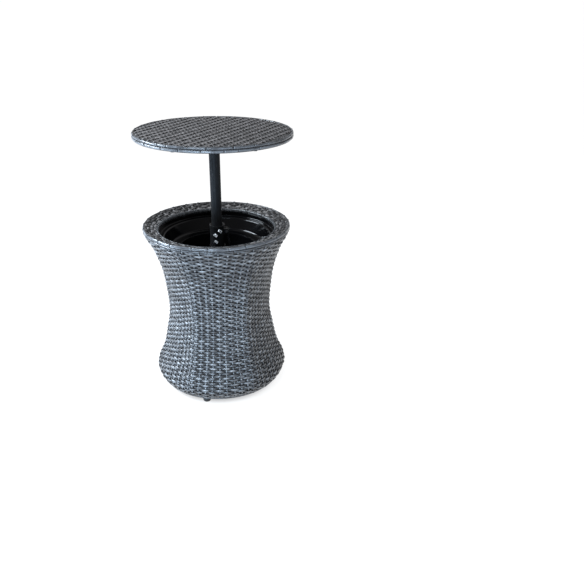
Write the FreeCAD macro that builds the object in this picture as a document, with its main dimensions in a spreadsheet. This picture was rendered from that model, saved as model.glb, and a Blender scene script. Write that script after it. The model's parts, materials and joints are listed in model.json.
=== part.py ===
import FreeCAD, Part
import math
import os
import Sketcher

# Cooler table with a lifting lid.
# Waisted woven body on four feet, drop-in ice tub, round woven lid on a
# telescopic mast with a cam clamp. Millimetres, +Z up, origin on the floor at
# the centre of the base, front of the table towards -Y. Modelled lid raised.

doc = FreeCAD.newDocument("CoolerTable")
sheet = doc.addObject("Spreadsheet::Sheet", "Dims")


class Dim:
    """A length with its spreadsheet expression."""

    def __init__(self, value, text):
        self.v = float(value)
        self.text = text

    def __add__(self, other):
        o = dim(other)
        return Dim(self.v + o.v, "(%s + %s)" % (self.text, o.text))

    def __sub__(self, other):
        o = dim(other)
        return Dim(self.v - o.v, "(%s - %s)" % (self.text, o.text))

    def __mul__(self, other):
        o = dim(other)
        return Dim(self.v * o.v, "(%s * %s)" % (self.text, o.text))

    def __truediv__(self, other):
        o = dim(other)
        return Dim(self.v / o.v, "(%s / %s)" % (self.text, o.text))


def dim(x):
    return x if isinstance(x, Dim) else Dim(x, "%.6f" % float(x))


TABLE = [
    # lid
    ("lid_rad", 250.0), ("lid_z", 858.0), ("lid_thk", 20.0), ("lift", 278.0),
    ("lid_ring_rad", 241.0), ("lid_ring_wire", 5.0), ("lid_skin", 4.8),
    ("lid_bar_wide", 20.0), ("lid_bar_tall", 10.0), ("lid_bar_half", 235.6),
    ("flange_rad", 46.0), ("flange_thk", 4.0), ("flange_bolt_rad", 33.0),
    ("liner_thk", 3.5), ("bumper_rad", 6.0), ("bumper_pitch", 232.0),
    ("bumper_thk", 3.6),
    # mast
    ("pole_rad", 17.5), ("pole_wall", 1.5), ("pole_foot", 436.0),
    ("tube_rad", 20.5), ("tube_wall", 1.5), ("tube_foot", 56.0),
    ("tube_top", 562.0), ("run_gap", 0.05), ("guide_foot", 470.0),
    ("end_bush_len", 29.6), ("stop_len", 3.2),
    # clamp
    ("collar_rad", 23.6), ("collar_foot", 503.0), ("collar_top", 569.0),
    ("mouth_rad", 24.8), ("pin_x", 31.5), ("pin_z", 548.0), ("pin_rad", 2.5),
    ("cheek_out", 12.0), ("cheek_in", 6.8), ("lever_half", 6.5),
    ("cam_rad", 7.0), ("cam_off", 0.5), ("shoe_half", 6.4),
    ("window_half", 7.2), ("screw_head", 6.5), ("screw_shank", 2.9),
    # rim
    ("rim_top", 576.0), ("rim_rad", 241.5), ("rim_in", 193.0),
    ("rim_thk", 4.0), ("rim_drop", 12.5), ("inner_rad", 189.0),
    ("inner_foot", 552.0), ("inner_tall", 12.0),
    # body frame
    ("ring_wire", 4.0), ("top_ring_rad", 228.0), ("top_ring_z", 562.2),
    ("waist_inset", 11.3), ("waist_thk", 3.0), ("waist_tall", 16.0),
    ("waist_z", 264.0),
    ("bottom_ring_rad", 198.0), ("bottom_ring_z", 35.0),
    ("bottom_wire", 5.0), ("rib_wide", 16.0), ("rib_thk", 4.0),
    ("rib_set", 7.5), ("skin_thk", 4.0), ("band_low", 172.0),
    ("band_high", 394.0),
    ("ledge_z", 530.0), ("ledge_rad", 196.2), ("ledge_wide", 19.2),
    ("ledge_thk", 3.0), ("ledge_tall", 26.0),
    ("spoke_wide", 14.0), ("spoke_thk", 3.0),
    # base
    ("bar_wide", 30.0), ("bar_tall", 12.0), ("bar_wall", 1.5), ("bar_half", 204.0),
    ("plate_side", 120.0), ("plate_thk", 4.0), ("plate_bolt_rad", 45.0),
    ("foot_pitch", 186.0), ("foot_turn", -17.5), ("foot_rad", 13.0),
    ("foot_tall", 19.5), ("band_foot", 20.0),
    # tub
    ("tub_top", 536.2), ("tub_wall", 2.5), ("tub_floor", 241.0),
    ("tub_lip", 192.7), ("tub_mouth", 171.5), ("step_z", 495.0),
    ("step_out", 156.5), ("step_in", 124.0), ("floor_rad", 116.0),
    ("chimney_rad", 26.0), ("drain_rad", 12.0), ("drain_pitch", 75.0),
]
# body outline: height, outer radius at a corner, share of hexagon in the plan
OUTLINE = [
    (24, 207.5, 0.00), (30, 214.5, 0.05), (38, 221.6, 0.12),
    (50, 226.8, 0.20), (66, 225.4, 0.30), (80, 222.8, 0.37),
    (100, 215.7, 0.44), (120, 205.6, 0.49), (140, 198.1, 0.52),
    (172, 190.2, 0.54), (209, 183.0, 0.55), (240, 176.7, 0.56),
    (272, 173.1, 0.56), (300, 173.8, 0.56), (330, 176.0, 0.56),
    (362, 179.5, 0.56), (394, 183.6, 0.54), (430, 191.4, 0.48),
    (465, 202.6, 0.38), (500, 214.6, 0.26), (530, 227.9, 0.12),
    (548, 235.5, 0.04), (558.6, 238.3, 0.00),
]

D = {}
row = 1
for alias, value in TABLE:
    sheet.set("A%d" % row, alias)
    sheet.set("B%d" % row, "%g" % value)
    sheet.setAlias("B%d" % row, alias)
    D[alias] = Dim(value, "Dims.%s" % alias)
    row += 1
for n, (z, r, k) in enumerate(OUTLINE):
    sheet.set("D%d" % (n + 1), "%g" % z)
    sheet.set("E%d" % (n + 1), "%g" % r)
    sheet.set("F%d" % (n + 1), "%g" % k)
    sheet.setAlias("D%d" % (n + 1), "outline_height_%s" % chr(97 + n))
    sheet.setAlias("E%d" % (n + 1), "outline_radius_%s" % chr(97 + n))
    sheet.setAlias("F%d" % (n + 1), "outline_blend_%s" % chr(97 + n))
doc.recompute()

NODES = []


def keep(obj, label):
    obj.Label = label
    NODES.append(obj)
    return obj


def bind(obj, prop, d):
    obj.setExpression(prop, dim(d).text)


def plane(body, role):
    for feature in body.Origin.OriginFeatures:
        if feature.Role == role:
            return feature
    raise RuntimeError("no plane " + role)


def outline_sketch(body, name, role, pts):
    """Closed polygon, every corner held by two lengths from the sheet."""
    sk = body.newObject("Sketcher::SketchObject", name)
    sk.AttachmentSupport = [(plane(body, role), "")]
    sk.MapMode = "FlatFace"
    pts = [(dim(a), dim(b)) for a, b in pts]
    n = len(pts)
    for i in range(n):
        a, b = pts[i], pts[(i + 1) % n]
        sk.addGeometry(Part.LineSegment(
            FreeCAD.Vector(a[0].v, a[1].v, 0),
            FreeCAD.Vector(b[0].v, b[1].v, 0)), False)
    cons = [Sketcher.Constraint("Coincident", i, 2, (i + 1) % n, 1)
            for i in range(n)]
    named = []
    for i, (a, b) in enumerate(pts):
        for axis, kind, d, ref in (("x", "DistanceX", a, -2),
                                   ("y", "DistanceY", b, -1)):
            if abs(d.v) < 1e-9:
                cons.append(Sketcher.Constraint("PointOnObject", i, 1, ref))
            else:
                cons.append(Sketcher.Constraint(kind, -1, 1, i, 1, d.v))
                named.append((len(cons) - 1, "%s%d" % (axis, i), d))
    sk.addConstraint(cons)
    for index, label, d in named:
        sk.renameConstraint(index, label)
    for index, label, d in named:
        sk.setExpression("Constraints." + label, d.text)
    return sk


def turned(name, pts, angle=360.0):
    """Body of revolution about Z from (radius, height) corners."""
    body = doc.addObject("PartDesign::Body", name)
    sk = outline_sketch(body, name + "_section", "XZ_Plane", pts)
    rev = body.newObject("PartDesign::Revolution", name + "_turn")
    rev.Profile = sk
    rev.ReferenceAxis = (sk, ["V_Axis"])
    rev.Angle = angle
    body.Tip = rev
    return body


def padded(name, pts, width):
    """Bar with its outline in the XZ plane, width spread evenly about Y."""
    body = doc.addObject("PartDesign::Body", name)
    sk = outline_sketch(body, name + "_outline", "XZ_Plane", pts)
    pad = body.newObject("PartDesign::Pad", name + "_pad")
    pad.Profile = sk
    bind(pad, "Length", width)
    pad.Midplane = True
    body.Tip = pad
    return body


def place(obj, x=0, y=0, z=0, rot=None):
    if rot is not None:
        obj.Placement = FreeCAD.Placement(FreeCAD.Vector(0, 0, 0), rot)
    for prop, d in (("x", x), ("y", y), ("z", z)):
        d = dim(d)
        if d.text.replace(".", "").replace("-", "").strip("0") == "":
            continue
        obj.setExpression("Placement.Base." + prop, d.text)
    return obj


def spun(angle):
    return FreeCAD.Rotation(FreeCAD.Vector(0, 0, 1), angle)


def along(direction):
    return FreeCAD.Rotation(FreeCAD.Vector(0, 0, 1), direction)


def cylinder(name, rad, tall, x=0, y=0, z=0, rot=None):
    c = doc.addObject("Part::Cylinder", name)
    bind(c, "Radius", rad)
    bind(c, "Height", tall)
    return place(c, x, y, z, rot)


def block(name, lx, ly, lz, x=0, y=0, z=0, rot=None):
    b = doc.addObject("Part::Box", name)
    bind(b, "Length", lx)
    bind(b, "Width", ly)
    bind(b, "Height", lz)
    return place(b, x, y, z, rot)


def ring(name, rad, wire, z):
    r = doc.addObject("Part::Torus", name)
    bind(r, "Radius1", rad)
    bind(r, "Radius2", wire)
    return place(r, 0, 0, z)


def fuse(name, shapes):
    f = doc.addObject("Part::MultiFuse", name)
    f.Shapes = shapes
    return f


def group(name, shapes):
    g = doc.addObject("Part::Compound", name)
    g.Links = shapes
    return g


def cut(name, base, tools):
    c = doc.addObject("Part::Cut", name)
    c.Base = base
    c.Tool = tools[0] if len(tools) == 1 else fuse(name + "_tools", tools)
    return c


def polar(rad, angle):
    """Sheet-driven X and Y of a point at a radius and a fixed angle."""
    rad = dim(rad)
    x = Dim(rad.v * math.cos(math.radians(angle)),
            "(%s * cos(%.4f deg))" % (rad.text, angle))
    y = Dim(rad.v * math.sin(math.radians(angle)),
            "(%s * sin(%.4f deg))" % (rad.text, angle))
    return x, y


# ------------------------------------------------------------- woven body
def section_wire(z, corner, blend, inset):
    """Soft hexagon, corners at +-30, +-90 and +-150 degrees from the front."""
    pts = []
    for i in range(36):
        a = i * 10.0
        off = (a % 60.0) - 30.0
        hexa = math.cos(math.radians(30)) / math.cos(math.radians(off))
        rad = corner * ((1 - blend) + blend * hexa) - inset
        pts.append(FreeCAD.Vector(rad * math.cos(math.radians(a)),
                                  rad * math.sin(math.radians(a)), z))
    curve = Part.BSplineCurve()
    curve.interpolate(Points=pts, PeriodicFlag=True)
    return Part.Wire([curve.toShape()])


def outline_cells():
    out = []
    for n in range(len(OUTLINE)):
        key = chr(97 + n)
        out.append((float(sheet.get("outline_height_" + key)),
                    float(sheet.get("outline_radius_" + key)),
                    float(sheet.get("outline_blend_" + key))))
    return out


skin_thk = float(sheet.get("skin_thk"))
cells = outline_cells()
outer = Part.makeLoft([section_wire(z, r, k, 0.0) for z, r, k in cells],
                      True, False)
inner = Part.makeLoft([section_wire(z, r, k, skin_thk) for z, r, k in cells],
                      True, False)
whole_skin = outer.cut(inner)
# the weave is taken in three bands: the flare over the feet, the waist and
# the shoulder under the rim
for name, low, high in (("base", cells[0][0], float(sheet.get("band_low"))),
                        ("waist", float(sheet.get("band_low")),
                         float(sheet.get("band_high"))),
                        ("shoulder", float(sheet.get("band_high")),
                         cells[-1][0])):
    slab = Part.makeCylinder(300.0, high - low, FreeCAD.Vector(0, 0, low))
    band = doc.addObject("Part::Feature", "weave_band_" + name)
    band.Shape = whole_skin.common(slab)
    keep(band, "weave_" + name)

base_edge_band = turned("base_edge", [
    (203.4, D["band_foot"]), (206.2, D["band_foot"]),
    (207.6, D["band_foot"] + 1.6), (207.6, D["band_foot"] + 3.8),
    (203.4, D["band_foot"] + 3.8)])
keep(base_edge_band, "base_edge_band")

# ------------------------------------------------------------------- rim
rt, ri = D["rim_top"], D["rim_in"]
rim_weave = turned("rim_top_face", [
    (ri, rt - 1.0 - D["rim_drop"] - D["rim_thk"]),
    (ri + 43.0, rt - 1.0 - D["rim_thk"]),
    (ri + 43.0, rt - 1.0), (ri, rt - 1.0 - D["rim_drop"])])
keep(rim_weave, "rim_weave")
rr = D["rim_rad"]
rim_edge_band = turned("rim_edge", [
    (rr - 5.3, rt - 16.5), (rr - 2.0, rt - 16.5), (rr, rt - 13.0),
    (rr, rt - 6.0), (rr - 2.0, rt - 1.5), (rr - 5.3, rt)])
keep(rim_edge_band, "rim_edge_band")
ir = D["inner_rad"]
rim_inner_band = turned("rim_inner", [
    (ir, D["inner_foot"]), (ir + 3.7, D["inner_foot"]),
    (ir + 3.7, D["inner_foot"] + D["inner_tall"] - 1.0),
    (ir + 1.5, D["inner_foot"] + D["inner_tall"]),
    (ir, D["inner_foot"] + D["inner_tall"] - 1.5)])
keep(rim_inner_band, "rim_inner_band")

# ------------------------------------------------------------ body frame
keep(ring("frame_top_ring", D["top_ring_rad"], D["ring_wire"],
          D["top_ring_z"]), "top_ring")
# flat hoop that ties the ribs together at the waist
waist_z = float(sheet.get("waist_z"))
waist_in = float(sheet.get("waist_inset"))
waist_up = FreeCAD.Vector(0, 0, float(sheet.get("waist_tall")))
hoop = []
for more in (0.0, float(sheet.get("waist_thk"))):
    face = Part.Face(section_wire(waist_z, 173.1, 0.56, waist_in + more))
    hoop.append(face.extrude(waist_up))
keep(ring("frame_bottom_ring", D["bottom_ring_rad"], D["bottom_wire"],
          D["bottom_ring_z"]), "bottom_ring")
FEET = [("front", -90.0 + D["foot_turn"].v), ("right", D["foot_turn"].v),
        ("back", 90.0 + D["foot_turn"].v), ("left", 180.0 + D["foot_turn"].v)]
lz, lr = D["ledge_z"], D["ledge_rad"]
inner_rim_ring = turned("ledge_angle", [
    (lr - D["ledge_wide"], lz), (lr, lz), (lr, lz + D["ledge_tall"]),
    (lr - D["ledge_thk"], lz + D["ledge_tall"]),
    (lr - D["ledge_thk"], lz + D["ledge_thk"]),
    (lr - D["ledge_wide"], lz + D["ledge_thk"])])
keep(inner_rim_ring, "inner_rim_ring")

tilt = math.degrees(math.atan2(9.0, 27.4))
spokes = []
for i in range(6):
    a = 30.0 + 60.0 * i
    s = doc.addObject("Part::Box", "spoke_%d" % i)
    bind(s, "Length", D["top_ring_rad"] - 199.4)
    bind(s, "Width", D["spoke_wide"])
    bind(s, "Height", D["spoke_thk"])
    turn = spun(a).multiply(FreeCAD.Rotation(FreeCAD.Vector(0, 1, 0), -tilt))
    base = FreeCAD.Placement(FreeCAD.Vector(0, 0, 0), spun(a)).multVec(
        FreeCAD.Vector(197.2, -D["spoke_wide"].v / 2.0, 550.5))
    s.Placement = FreeCAD.Placement(base, turn)
    spokes.append(s)
keep(group("spoke_set", spokes), "rim_spokes")


def smooth_radius(z):
    """Outline radius between the sheet's stations."""
    for (z0, r0, k0), (z1, r1, k1) in zip(cells, cells[1:]):
        if z0 <= z <= z1:
            return r0 + (r1 - r0) * (z - z0) / (z1 - z0)
    return cells[-1][1]


def rib(name, angle):
    """Bent flat bar that follows the outline on the inside of the weave."""
    body = doc.addObject("PartDesign::Body", name)
    sk = body.newObject("Sketcher::SketchObject", name + "_outline")
    sk.AttachmentSupport = [(plane(body, "XZ_Plane"), "")]
    sk.MapMode = "FlatFace"
    zs = [30.0, 38.0, 50.0, 66.0, 80.0, 100.0, 120.0, 140.0, 172.0, 209.0,
          240.0, 272.0, 300.0, 330.0, 362.0, 394.0, 430.0, 465.0, 500.0,
          530.0, 548.0, 558.0]
    set_in = float(sheet.get("rib_set"))
    thick = float(sheet.get("rib_thk"))
    face = [FreeCAD.Vector(smooth_radius(z) - set_in, z, 0) for z in zs]
    back = [FreeCAD.Vector(smooth_radius(z) - set_in - thick, z, 0)
            for z in zs]
    c1 = Part.BSplineCurve()
    c1.interpolate(face)
    c2 = Part.BSplineCurve()
    c2.interpolate(back)
    sk.addGeometry(c1, False)
    sk.addGeometry(Part.LineSegment(face[-1], back[-1]), False)
    sk.addGeometry(c2, False)
    sk.addGeometry(Part.LineSegment(back[0], face[0]), False)
    pad = body.newObject("PartDesign::Pad", name + "_pad")
    pad.Profile = sk
    bind(pad, "Length", D["rib_wide"])
    pad.Midplane = True
    body.Tip = pad
    body.Placement = FreeCAD.Placement(FreeCAD.Vector(0, 0, 0), spun(angle))
    return body


RIBS = [("front_right", -60.0), ("right", 0.0), ("back_right", 60.0),
        ("back_left", 120.0), ("left", 180.0), ("front_left", -120.0)]
hoop_body = hoop[0].cut(hoop[1])
for name, a in RIBS:
    bar = rib("rib_" + name + "_bar", a)
    keep(bar, "rib_" + name)
    doc.recompute()
    hoop_body = hoop_body.cut(bar.Shape)
# the hoop is notched to sit against each rib, where it is welded
waist = doc.addObject("Part::Feature", "frame_waist_hoop")
waist.Shape = hoop_body
keep(waist, "waist_ring")

# ------------------------------------------------------------------ base
ft = D["foot_turn"].v
bz = D["bottom_ring_z"] + D["bottom_wire"]


def base_drills(tag, angles):
    out = []
    for a in angles:
        x, y = polar(D["plate_bolt_rad"], a)
        out.append(cylinder("%s_drill_%d" % (tag, int(a) % 360), 3.05, 30.0,
                            x, y, bz + 3.0))
        if tag != "plate":
            x, y = polar(D["foot_pitch"], a)
            out.append(cylinder("%s_foot_drill_%d" % (tag, int(a) % 360),
                                2.1, 8.0, x, y, bz - 3.0))
    return out


long_bar = block("long_bar", D["bar_half"] * 2.0, D["bar_wide"],
                 D["bar_tall"])
long_bar.Placement = FreeCAD.Placement(
    spun(ft).multVec(FreeCAD.Vector(-D["bar_half"].v,
                                    -D["bar_wide"].v / 2, bz.v)), spun(ft))
def bar_core(tag, length, angle, start):
    """Inside of a box-section bar."""
    wall = D["bar_wall"]
    c = block("core_" + tag, length, D["bar_wide"] - wall * 2.0,
              D["bar_tall"] - wall * 2.0)
    c.Placement = FreeCAD.Placement(
        spun(angle).multVec(FreeCAD.Vector(
            start, -D["bar_wide"].v / 2 + wall.v, bz.v + wall.v)),
        spun(angle))
    return c


keep(cut("long_bar_drilled", long_bar,
         [bar_core("long", D["bar_half"] * 2.0 + 2.0, ft,
                   -D["bar_half"].v - 1.0)]
         + base_drills("long", [ft, ft + 180])), "base_bar")
halves = []
for tag, a in (("front", ft - 90), ("back", ft + 90)):
    h = block("half_bar_" + tag, D["bar_half"] - D["bar_wide"] / 2.0 - 0.1,
              D["bar_wide"], D["bar_tall"])
    h.Placement = FreeCAD.Placement(
        spun(a).multVec(FreeCAD.Vector(D["bar_wide"].v / 2 + 0.1,
                                       -D["bar_wide"].v / 2, bz.v)), spun(a))
    halves.append(cut("half_bar_drilled_" + tag, h,
                      [bar_core(tag, D["bar_half"] + 2.0, a, 10.0)]
                      + base_drills("half_" + tag, [a])))
keep(group("half_bars", halves), "base_half_bars")

pz = bz + D["bar_tall"]
plate = block("mast_plate", D["plate_side"], D["plate_side"], D["plate_thk"])
plate.Placement = FreeCAD.Placement(
    spun(ft).multVec(FreeCAD.Vector(-D["plate_side"].v / 2,
                                    -D["plate_side"].v / 2, pz.v)), spun(ft))
keep(cut("mast_plate_drilled", plate,
         base_drills("plate", [ft, ft + 90, ft + 180, ft + 270])),
     "tube_base_plate")
bolts = []
for i in range(4):
    x, y = polar(D["plate_bolt_rad"], ft + 90 * i)
    head = cylinder("plate_head_%d" % i, 6.0, 4.0, x, y, pz + D["plate_thk"])
    shank = cylinder("plate_shank_%d" % i, 3.0, 12.0 + 0.5, x, y,
                     pz + D["plate_thk"] - 12.0)
    bolts.append(fuse("plate_screw_%d" % i, [head, shank]))
keep(group("plate_screws", bolts), "base_plate_screws")

# ------------------------------------------------------------------ feet
shanks = []
for name, a in FEET:
    fr = D["foot_rad"]
    foot = turned("foot_body_" + name, [
        (4.9, 0.0), (fr - 4.0, 0.0), (fr - 1.2, 1.2), (fr, 5.0),
        (fr, 9.0), (fr - 2.6, D["foot_tall"] - 1.5),
        (fr - 4.0, D["foot_tall"]), (4.2, D["foot_tall"]),
        (4.2, bz), (2.2, bz), (2.2, 6.5),
        (4.9, 6.5)])
    x, y = polar(D["foot_pitch"], a)
    place(foot, x, y)
    keep(foot, "foot_" + name)
    head = cylinder("foot_head_" + name, 4.3, 3.3, x, y, 3.2)
    shank = cylinder("foot_shank_" + name, 2.0, 39.0, x, y, 6.0)
    shanks.append(fuse("foot_screw_" + name, [head, shank]))
keep(group("foot_screw_set", shanks), "foot_screws")

# ------------------------------------------------------------------- tub
w = D["tub_wall"]
basin = turned("tub_basin_shell", [
    (D["tub_lip"], D["tub_top"] - 3.0), (D["tub_mouth"] + w, D["tub_top"] - 3.0),
    (D["step_out"] + w, D["step_z"] - w + 1.0),
    (D["step_out"] + w - 1.0, D["step_z"] - w),
    (D["step_in"] + w, D["step_z"] - w),
    (D["step_in"] + w, D["step_z"]), (D["step_out"], D["step_z"]),
    (D["tub_mouth"], D["tub_top"]),
    (D["tub_lip"] - 4.2, D["tub_top"]),
    (D["tub_lip"] - 3.6, D["tub_top"] + 15.2),
    (D["tub_lip"], D["tub_top"] + 15.2)])
keep(basin, "tub_basin")
sleeve = turned("tub_sleeve_shell", [
    (D["chimney_rad"] - w, D["tub_floor"] - w),
    (D["chimney_rad"] - w, D["step_z"] + 2.0),
    (D["chimney_rad"], D["step_z"] + 2.0),
    (D["chimney_rad"] + 1.5, D["tub_floor"]),
    (D["chimney_rad"] + 1.5, D["tub_floor"] - w)])
keep(sleeve, "tub_sleeve")
tub = turned("tub_shell", [
    (D["step_in"] + w, D["step_z"]), (D["step_in"] + w, D["step_z"] - w),
    (D["floor_rad"] + w, D["tub_floor"] - w),
    (D["chimney_rad"] + 1.5, D["tub_floor"] - w),
    (D["chimney_rad"] + 1.5, D["tub_floor"]),
    (D["floor_rad"], D["tub_floor"]),
    (D["step_in"], D["step_z"])])
dx, dy = polar(D["drain_pitch"], 45.0)
drain = cylinder("drain_hole", D["drain_rad"], 20.0, dx, dy,
                 D["tub_floor"] - 10.0)
keep(cut("tub_with_drain", tub, [drain]), "ice_tub")
plug = turned("plug_body", [
    (0, 233.0), (9.5, 233.0), (11.7, 235.5), (11.7, D["tub_floor"] + 0.2),
    (17.0, D["tub_floor"] + 0.2), (17.0, D["tub_floor"] + 2.6),
    (7.0, D["tub_floor"] + 3.4), (5.5, D["tub_floor"] + 9.0),
    (8.5, D["tub_floor"] + 12.0), (7.5, D["tub_floor"] + 15.0),
    (0, D["tub_floor"] + 15.6)])
place(plug, dx, dy)
keep(plug, "drain_plug")

# ------------------------------------------------------------------ mast
tr, tw = D["tube_rad"], D["tube_wall"]
tube = turned("mast_tube", [
    (tr - tw, D["tube_foot"]), (tr, D["tube_foot"]), (tr, D["tube_top"]),
    (tr - tw, D["tube_top"])])


def window(tag):
    h = D["window_half"]
    return block("window_" + tag, 12.0, h * 2.0, 19.0, 13.0, h * -1.0,
                 D["pin_z"] - 9.8)


keep(cut("mast_tube_windowed", tube, [window("tube")]), "outer_tube")
pr, g = D["pole_rad"], D["run_gap"]
bush = turned("guide_bush_body", [
    (pr + g, D["guide_foot"]), (tr - tw - g, D["guide_foot"]),
    (tr - tw - g, D["tube_top"] + 0.1), (tr, D["tube_top"] + 0.1),
    (tr, D["tube_top"] + 1.6), (pr + g, D["tube_top"] + 1.6)])
keep(cut("guide_bush_windowed", bush, [window("bush")]), "guide_bush")

pole = turned("lift_pole", [
    (pr - D["pole_wall"], D["pole_foot"]), (pr, D["pole_foot"]),
    (pr, D["lid_z"]), (pr - D["pole_wall"], D["lid_z"])])
keep(pole, "lid_pole")
cap = turned("pole_cap_body", [
    (0, D["pole_foot"] - 5.0), (pr + 0.9, D["pole_foot"] - 5.0),
    (pr + 0.9, D["pole_foot"] - 0.1), (pr - D["pole_wall"] - 0.1,
                                       D["pole_foot"] - 0.1),
    (pr - D["pole_wall"] - 0.1, D["pole_foot"] + 16.0),
    (0, D["pole_foot"] + 16.0)])
keep(cap, "pole_end_cap")
end_bush = turned("pole_end_bush_body", [
    (pr + g, D["pole_foot"] + 0.4), (tr - tw - 0.08, D["pole_foot"] + 0.4),
    (tr - tw - 0.08, D["pole_foot"] + 0.4 + D["end_bush_len"]),
    (pr + g, D["pole_foot"] + 0.4 + D["end_bush_len"])])
keep(end_bush, "pole_end_bush")
stop_z = D["pole_foot"] + 0.7 + D["end_bush_len"]
stop = turned("pole_stop_body", [
    (pr, stop_z), (pr + 1.2, stop_z), (pr + 1.2, stop_z + D["stop_len"]),
    (pr, stop_z + D["stop_len"])])
keep(stop, "pole_stop_ring")

# ----------------------------------------------------------------- clamp
cr, ct = D["collar_rad"], D["collar_top"]
barrel = turned("collar_barrel", [
    (tr + 0.1, D["collar_foot"]), (cr - 0.6, D["collar_foot"]),
    (cr, D["collar_foot"] + 1.0), (cr, D["tube_top"] - 6.0),
    (D["mouth_rad"], ct - 3.0), (D["mouth_rad"], ct),
    (D["mouth_rad"] - 2.2, ct), (pr + 0.8, ct - 4.0),
    (pr + 0.8, D["tube_top"] + 1.9), (tr + 0.1, D["tube_top"] + 1.9)])
flat_y = along(FreeCAD.Vector(0, -1, 0))
cheeks = []
for tag, y0 in (("front", D["cheek_out"] * -1.0), ("back", D["cheek_in"])):
    cheeks.append(block("cheek_" + tag, D["pin_x"] - 18.0,
                        D["cheek_out"] - D["cheek_in"], 16.0,
                        18.0, y0, D["pin_z"] - 8.0))
    cheeks.append(cylinder("cheek_round_" + tag, 8.0,
                           D["cheek_out"] - D["cheek_in"], D["pin_x"],
                           y0 + D["cheek_out"] - D["cheek_in"], D["pin_z"],
                           flat_y))
solid = fuse("collar_solid", [barrel] + cheeks)
bore = cylinder("collar_bore", tr + 0.1, D["tube_top"] + 1.9
                - D["collar_foot"] + 1.0, 0, 0, D["collar_foot"] - 1.0)
gate = block("collar_gate", 14.0, D["cheek_in"] * 2.0, 19.0, 13.0,
             D["cheek_in"] * -1.0, D["pin_z"] - 9.8)
pin_hole = cylinder("collar_pin_hole", D["pin_rad"] + 0.02, 40.0, D["pin_x"],
                    20.0, D["pin_z"], flat_y)
SCREWS = [("upper", -70.0, 553.0), ("middle", -102.0, 539.0),
          ("lower", -99.0, 516.5)]
holes, screws = [], []
for name, a, z in SCREWS:
    out = FreeCAD.Vector(math.cos(math.radians(a)),
                         math.sin(math.radians(a)), 0)
    x, y = polar(tr - 3.0, a)
    holes.append(cylinder("collar_screw_hole_" + name,
                          D["screw_shank"] + 0.1, 12.0, x, y, z, along(out)))
    x, y = polar(cr + 0.25, a)
    head = cylinder("collar_head_" + name, D["screw_head"], 6.2, x, y, z,
                    along(out))
    holes.append(cylinder("collar_spot_face_" + name,
                          D["screw_head"] + 0.2, 9.0, x, y, z, along(out)))
    x, y = polar(tr + 0.05, a)
    shank = cylinder("collar_shank_" + name, D["screw_shank"], 4.0, x, y, z,
                     along(out))
    screws.append(fuse("collar_screw_" + name, [head, shank]))
keep(cut("collar_finished", solid, [bore, gate, pin_hole] + holes),
     "clamp_collar")
keep(group("collar_screw_set", screws), "collar_screws")

pin = fuse("lever_pin_body", [
    cylinder("pin_shank", D["pin_rad"], D["cheek_out"] * 2.0 + 1.0,
             D["pin_x"], D["cheek_out"] + 0.5, D["pin_z"], flat_y),
    cylinder("pin_head_front", 4.2, 2.0, D["pin_x"],
             D["cheek_out"] * -1.0 - 0.1, D["pin_z"], flat_y),
    cylinder("pin_head_back", 4.2, 2.0, D["pin_x"],
             D["cheek_out"] + 2.1, D["pin_z"], flat_y)])
keep(pin, "lever_pin")

px, qz = D["pin_x"], D["pin_z"]
cam = cylinder("cam_round", D["cam_rad"], D["lever_half"] * 2.0,
               px - D["cam_off"], D["lever_half"], qz, flat_y)
neck = padded("lever_neck", [
    (px - 4.0, qz - 5.0), (px + 2.0, qz - 12.5), (px + 7.6, qz - 12.5),
    (px + 6.6, qz + 0.5), (px + 0.5, qz + 6.8), (px - 3.5, qz + 4.0)],
    D["lever_half"] * 2.0)
grip = padded("lever_grip", [
    (px + 2.0, qz - 10.5), (px + 7.5, qz - 10.5), (px + 8.0, qz - 28.0),
    (px + 10.5, qz - 44.5), (px + 9.0, qz - 47.0), (px + 6.5, qz - 47.0),
    (px + 4.0, qz - 43.0), (px + 2.2, qz - 28.0)], 18.0)
lever = cut("cam_lever_drilled", fuse("cam_lever_body", [cam, neck, grip]),
            [cylinder("lever_pin_hole", D["pin_rad"] + 0.05, 30.0, px, 15.0,
                      qz, flat_y)])
keep(lever, "cam_lever")

shoe = block("shoe_block", px - D["cam_off"] - D["cam_rad"] - 0.2 - 16.0,
             D["shoe_half"] * 2.0, 16.6, 16.0, D["shoe_half"] * -1.0,
             qz - 8.6)
keep(cut("shoe_hollowed", shoe,
         [cylinder("shoe_hollow", pr + 0.3, 30.0, 0, 0, qz - 15.0)]),
     "brake_shoe")

# ------------------------------------------------------------------- lid
lz0 = D["lid_z"]
top = lz0 + D["lid_thk"]
lrr = D["lid_rad"]
keep(ring("lid_frame_ring", D["lid_ring_rad"], D["lid_ring_wire"],
          lz0 + 9.0), "lid_ring")
lid_weave = turned("lid_top_face", [
    (0, top - D["lid_skin"]), (lrr - 4.5, top - D["lid_skin"]),
    (lrr - 3.2, top - D["lid_skin"] - 1.2), (lrr - 3.2, lz0 + 10.5),
    (lrr - 0.1, lz0 + 10.5), (lrr - 0.1, top - 5.5), (lrr - 1.4, top - 2.6),
    (lrr - 3.6, top - 0.8), (lrr - 7.0, top), (0, top)])
keep(lid_weave, "lid_weave")
lid_edge = turned("lid_edge_ring", [
    (lrr - 3.2, lz0 + 0.6), (lrr - 1.2, lz0 + 0.6), (lrr, lz0 + 2.2),
    (lrr, lz0 + 10.2), (lrr - 3.2, lz0 + 10.2)])
keep(lid_edge, "lid_edge_band")

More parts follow.
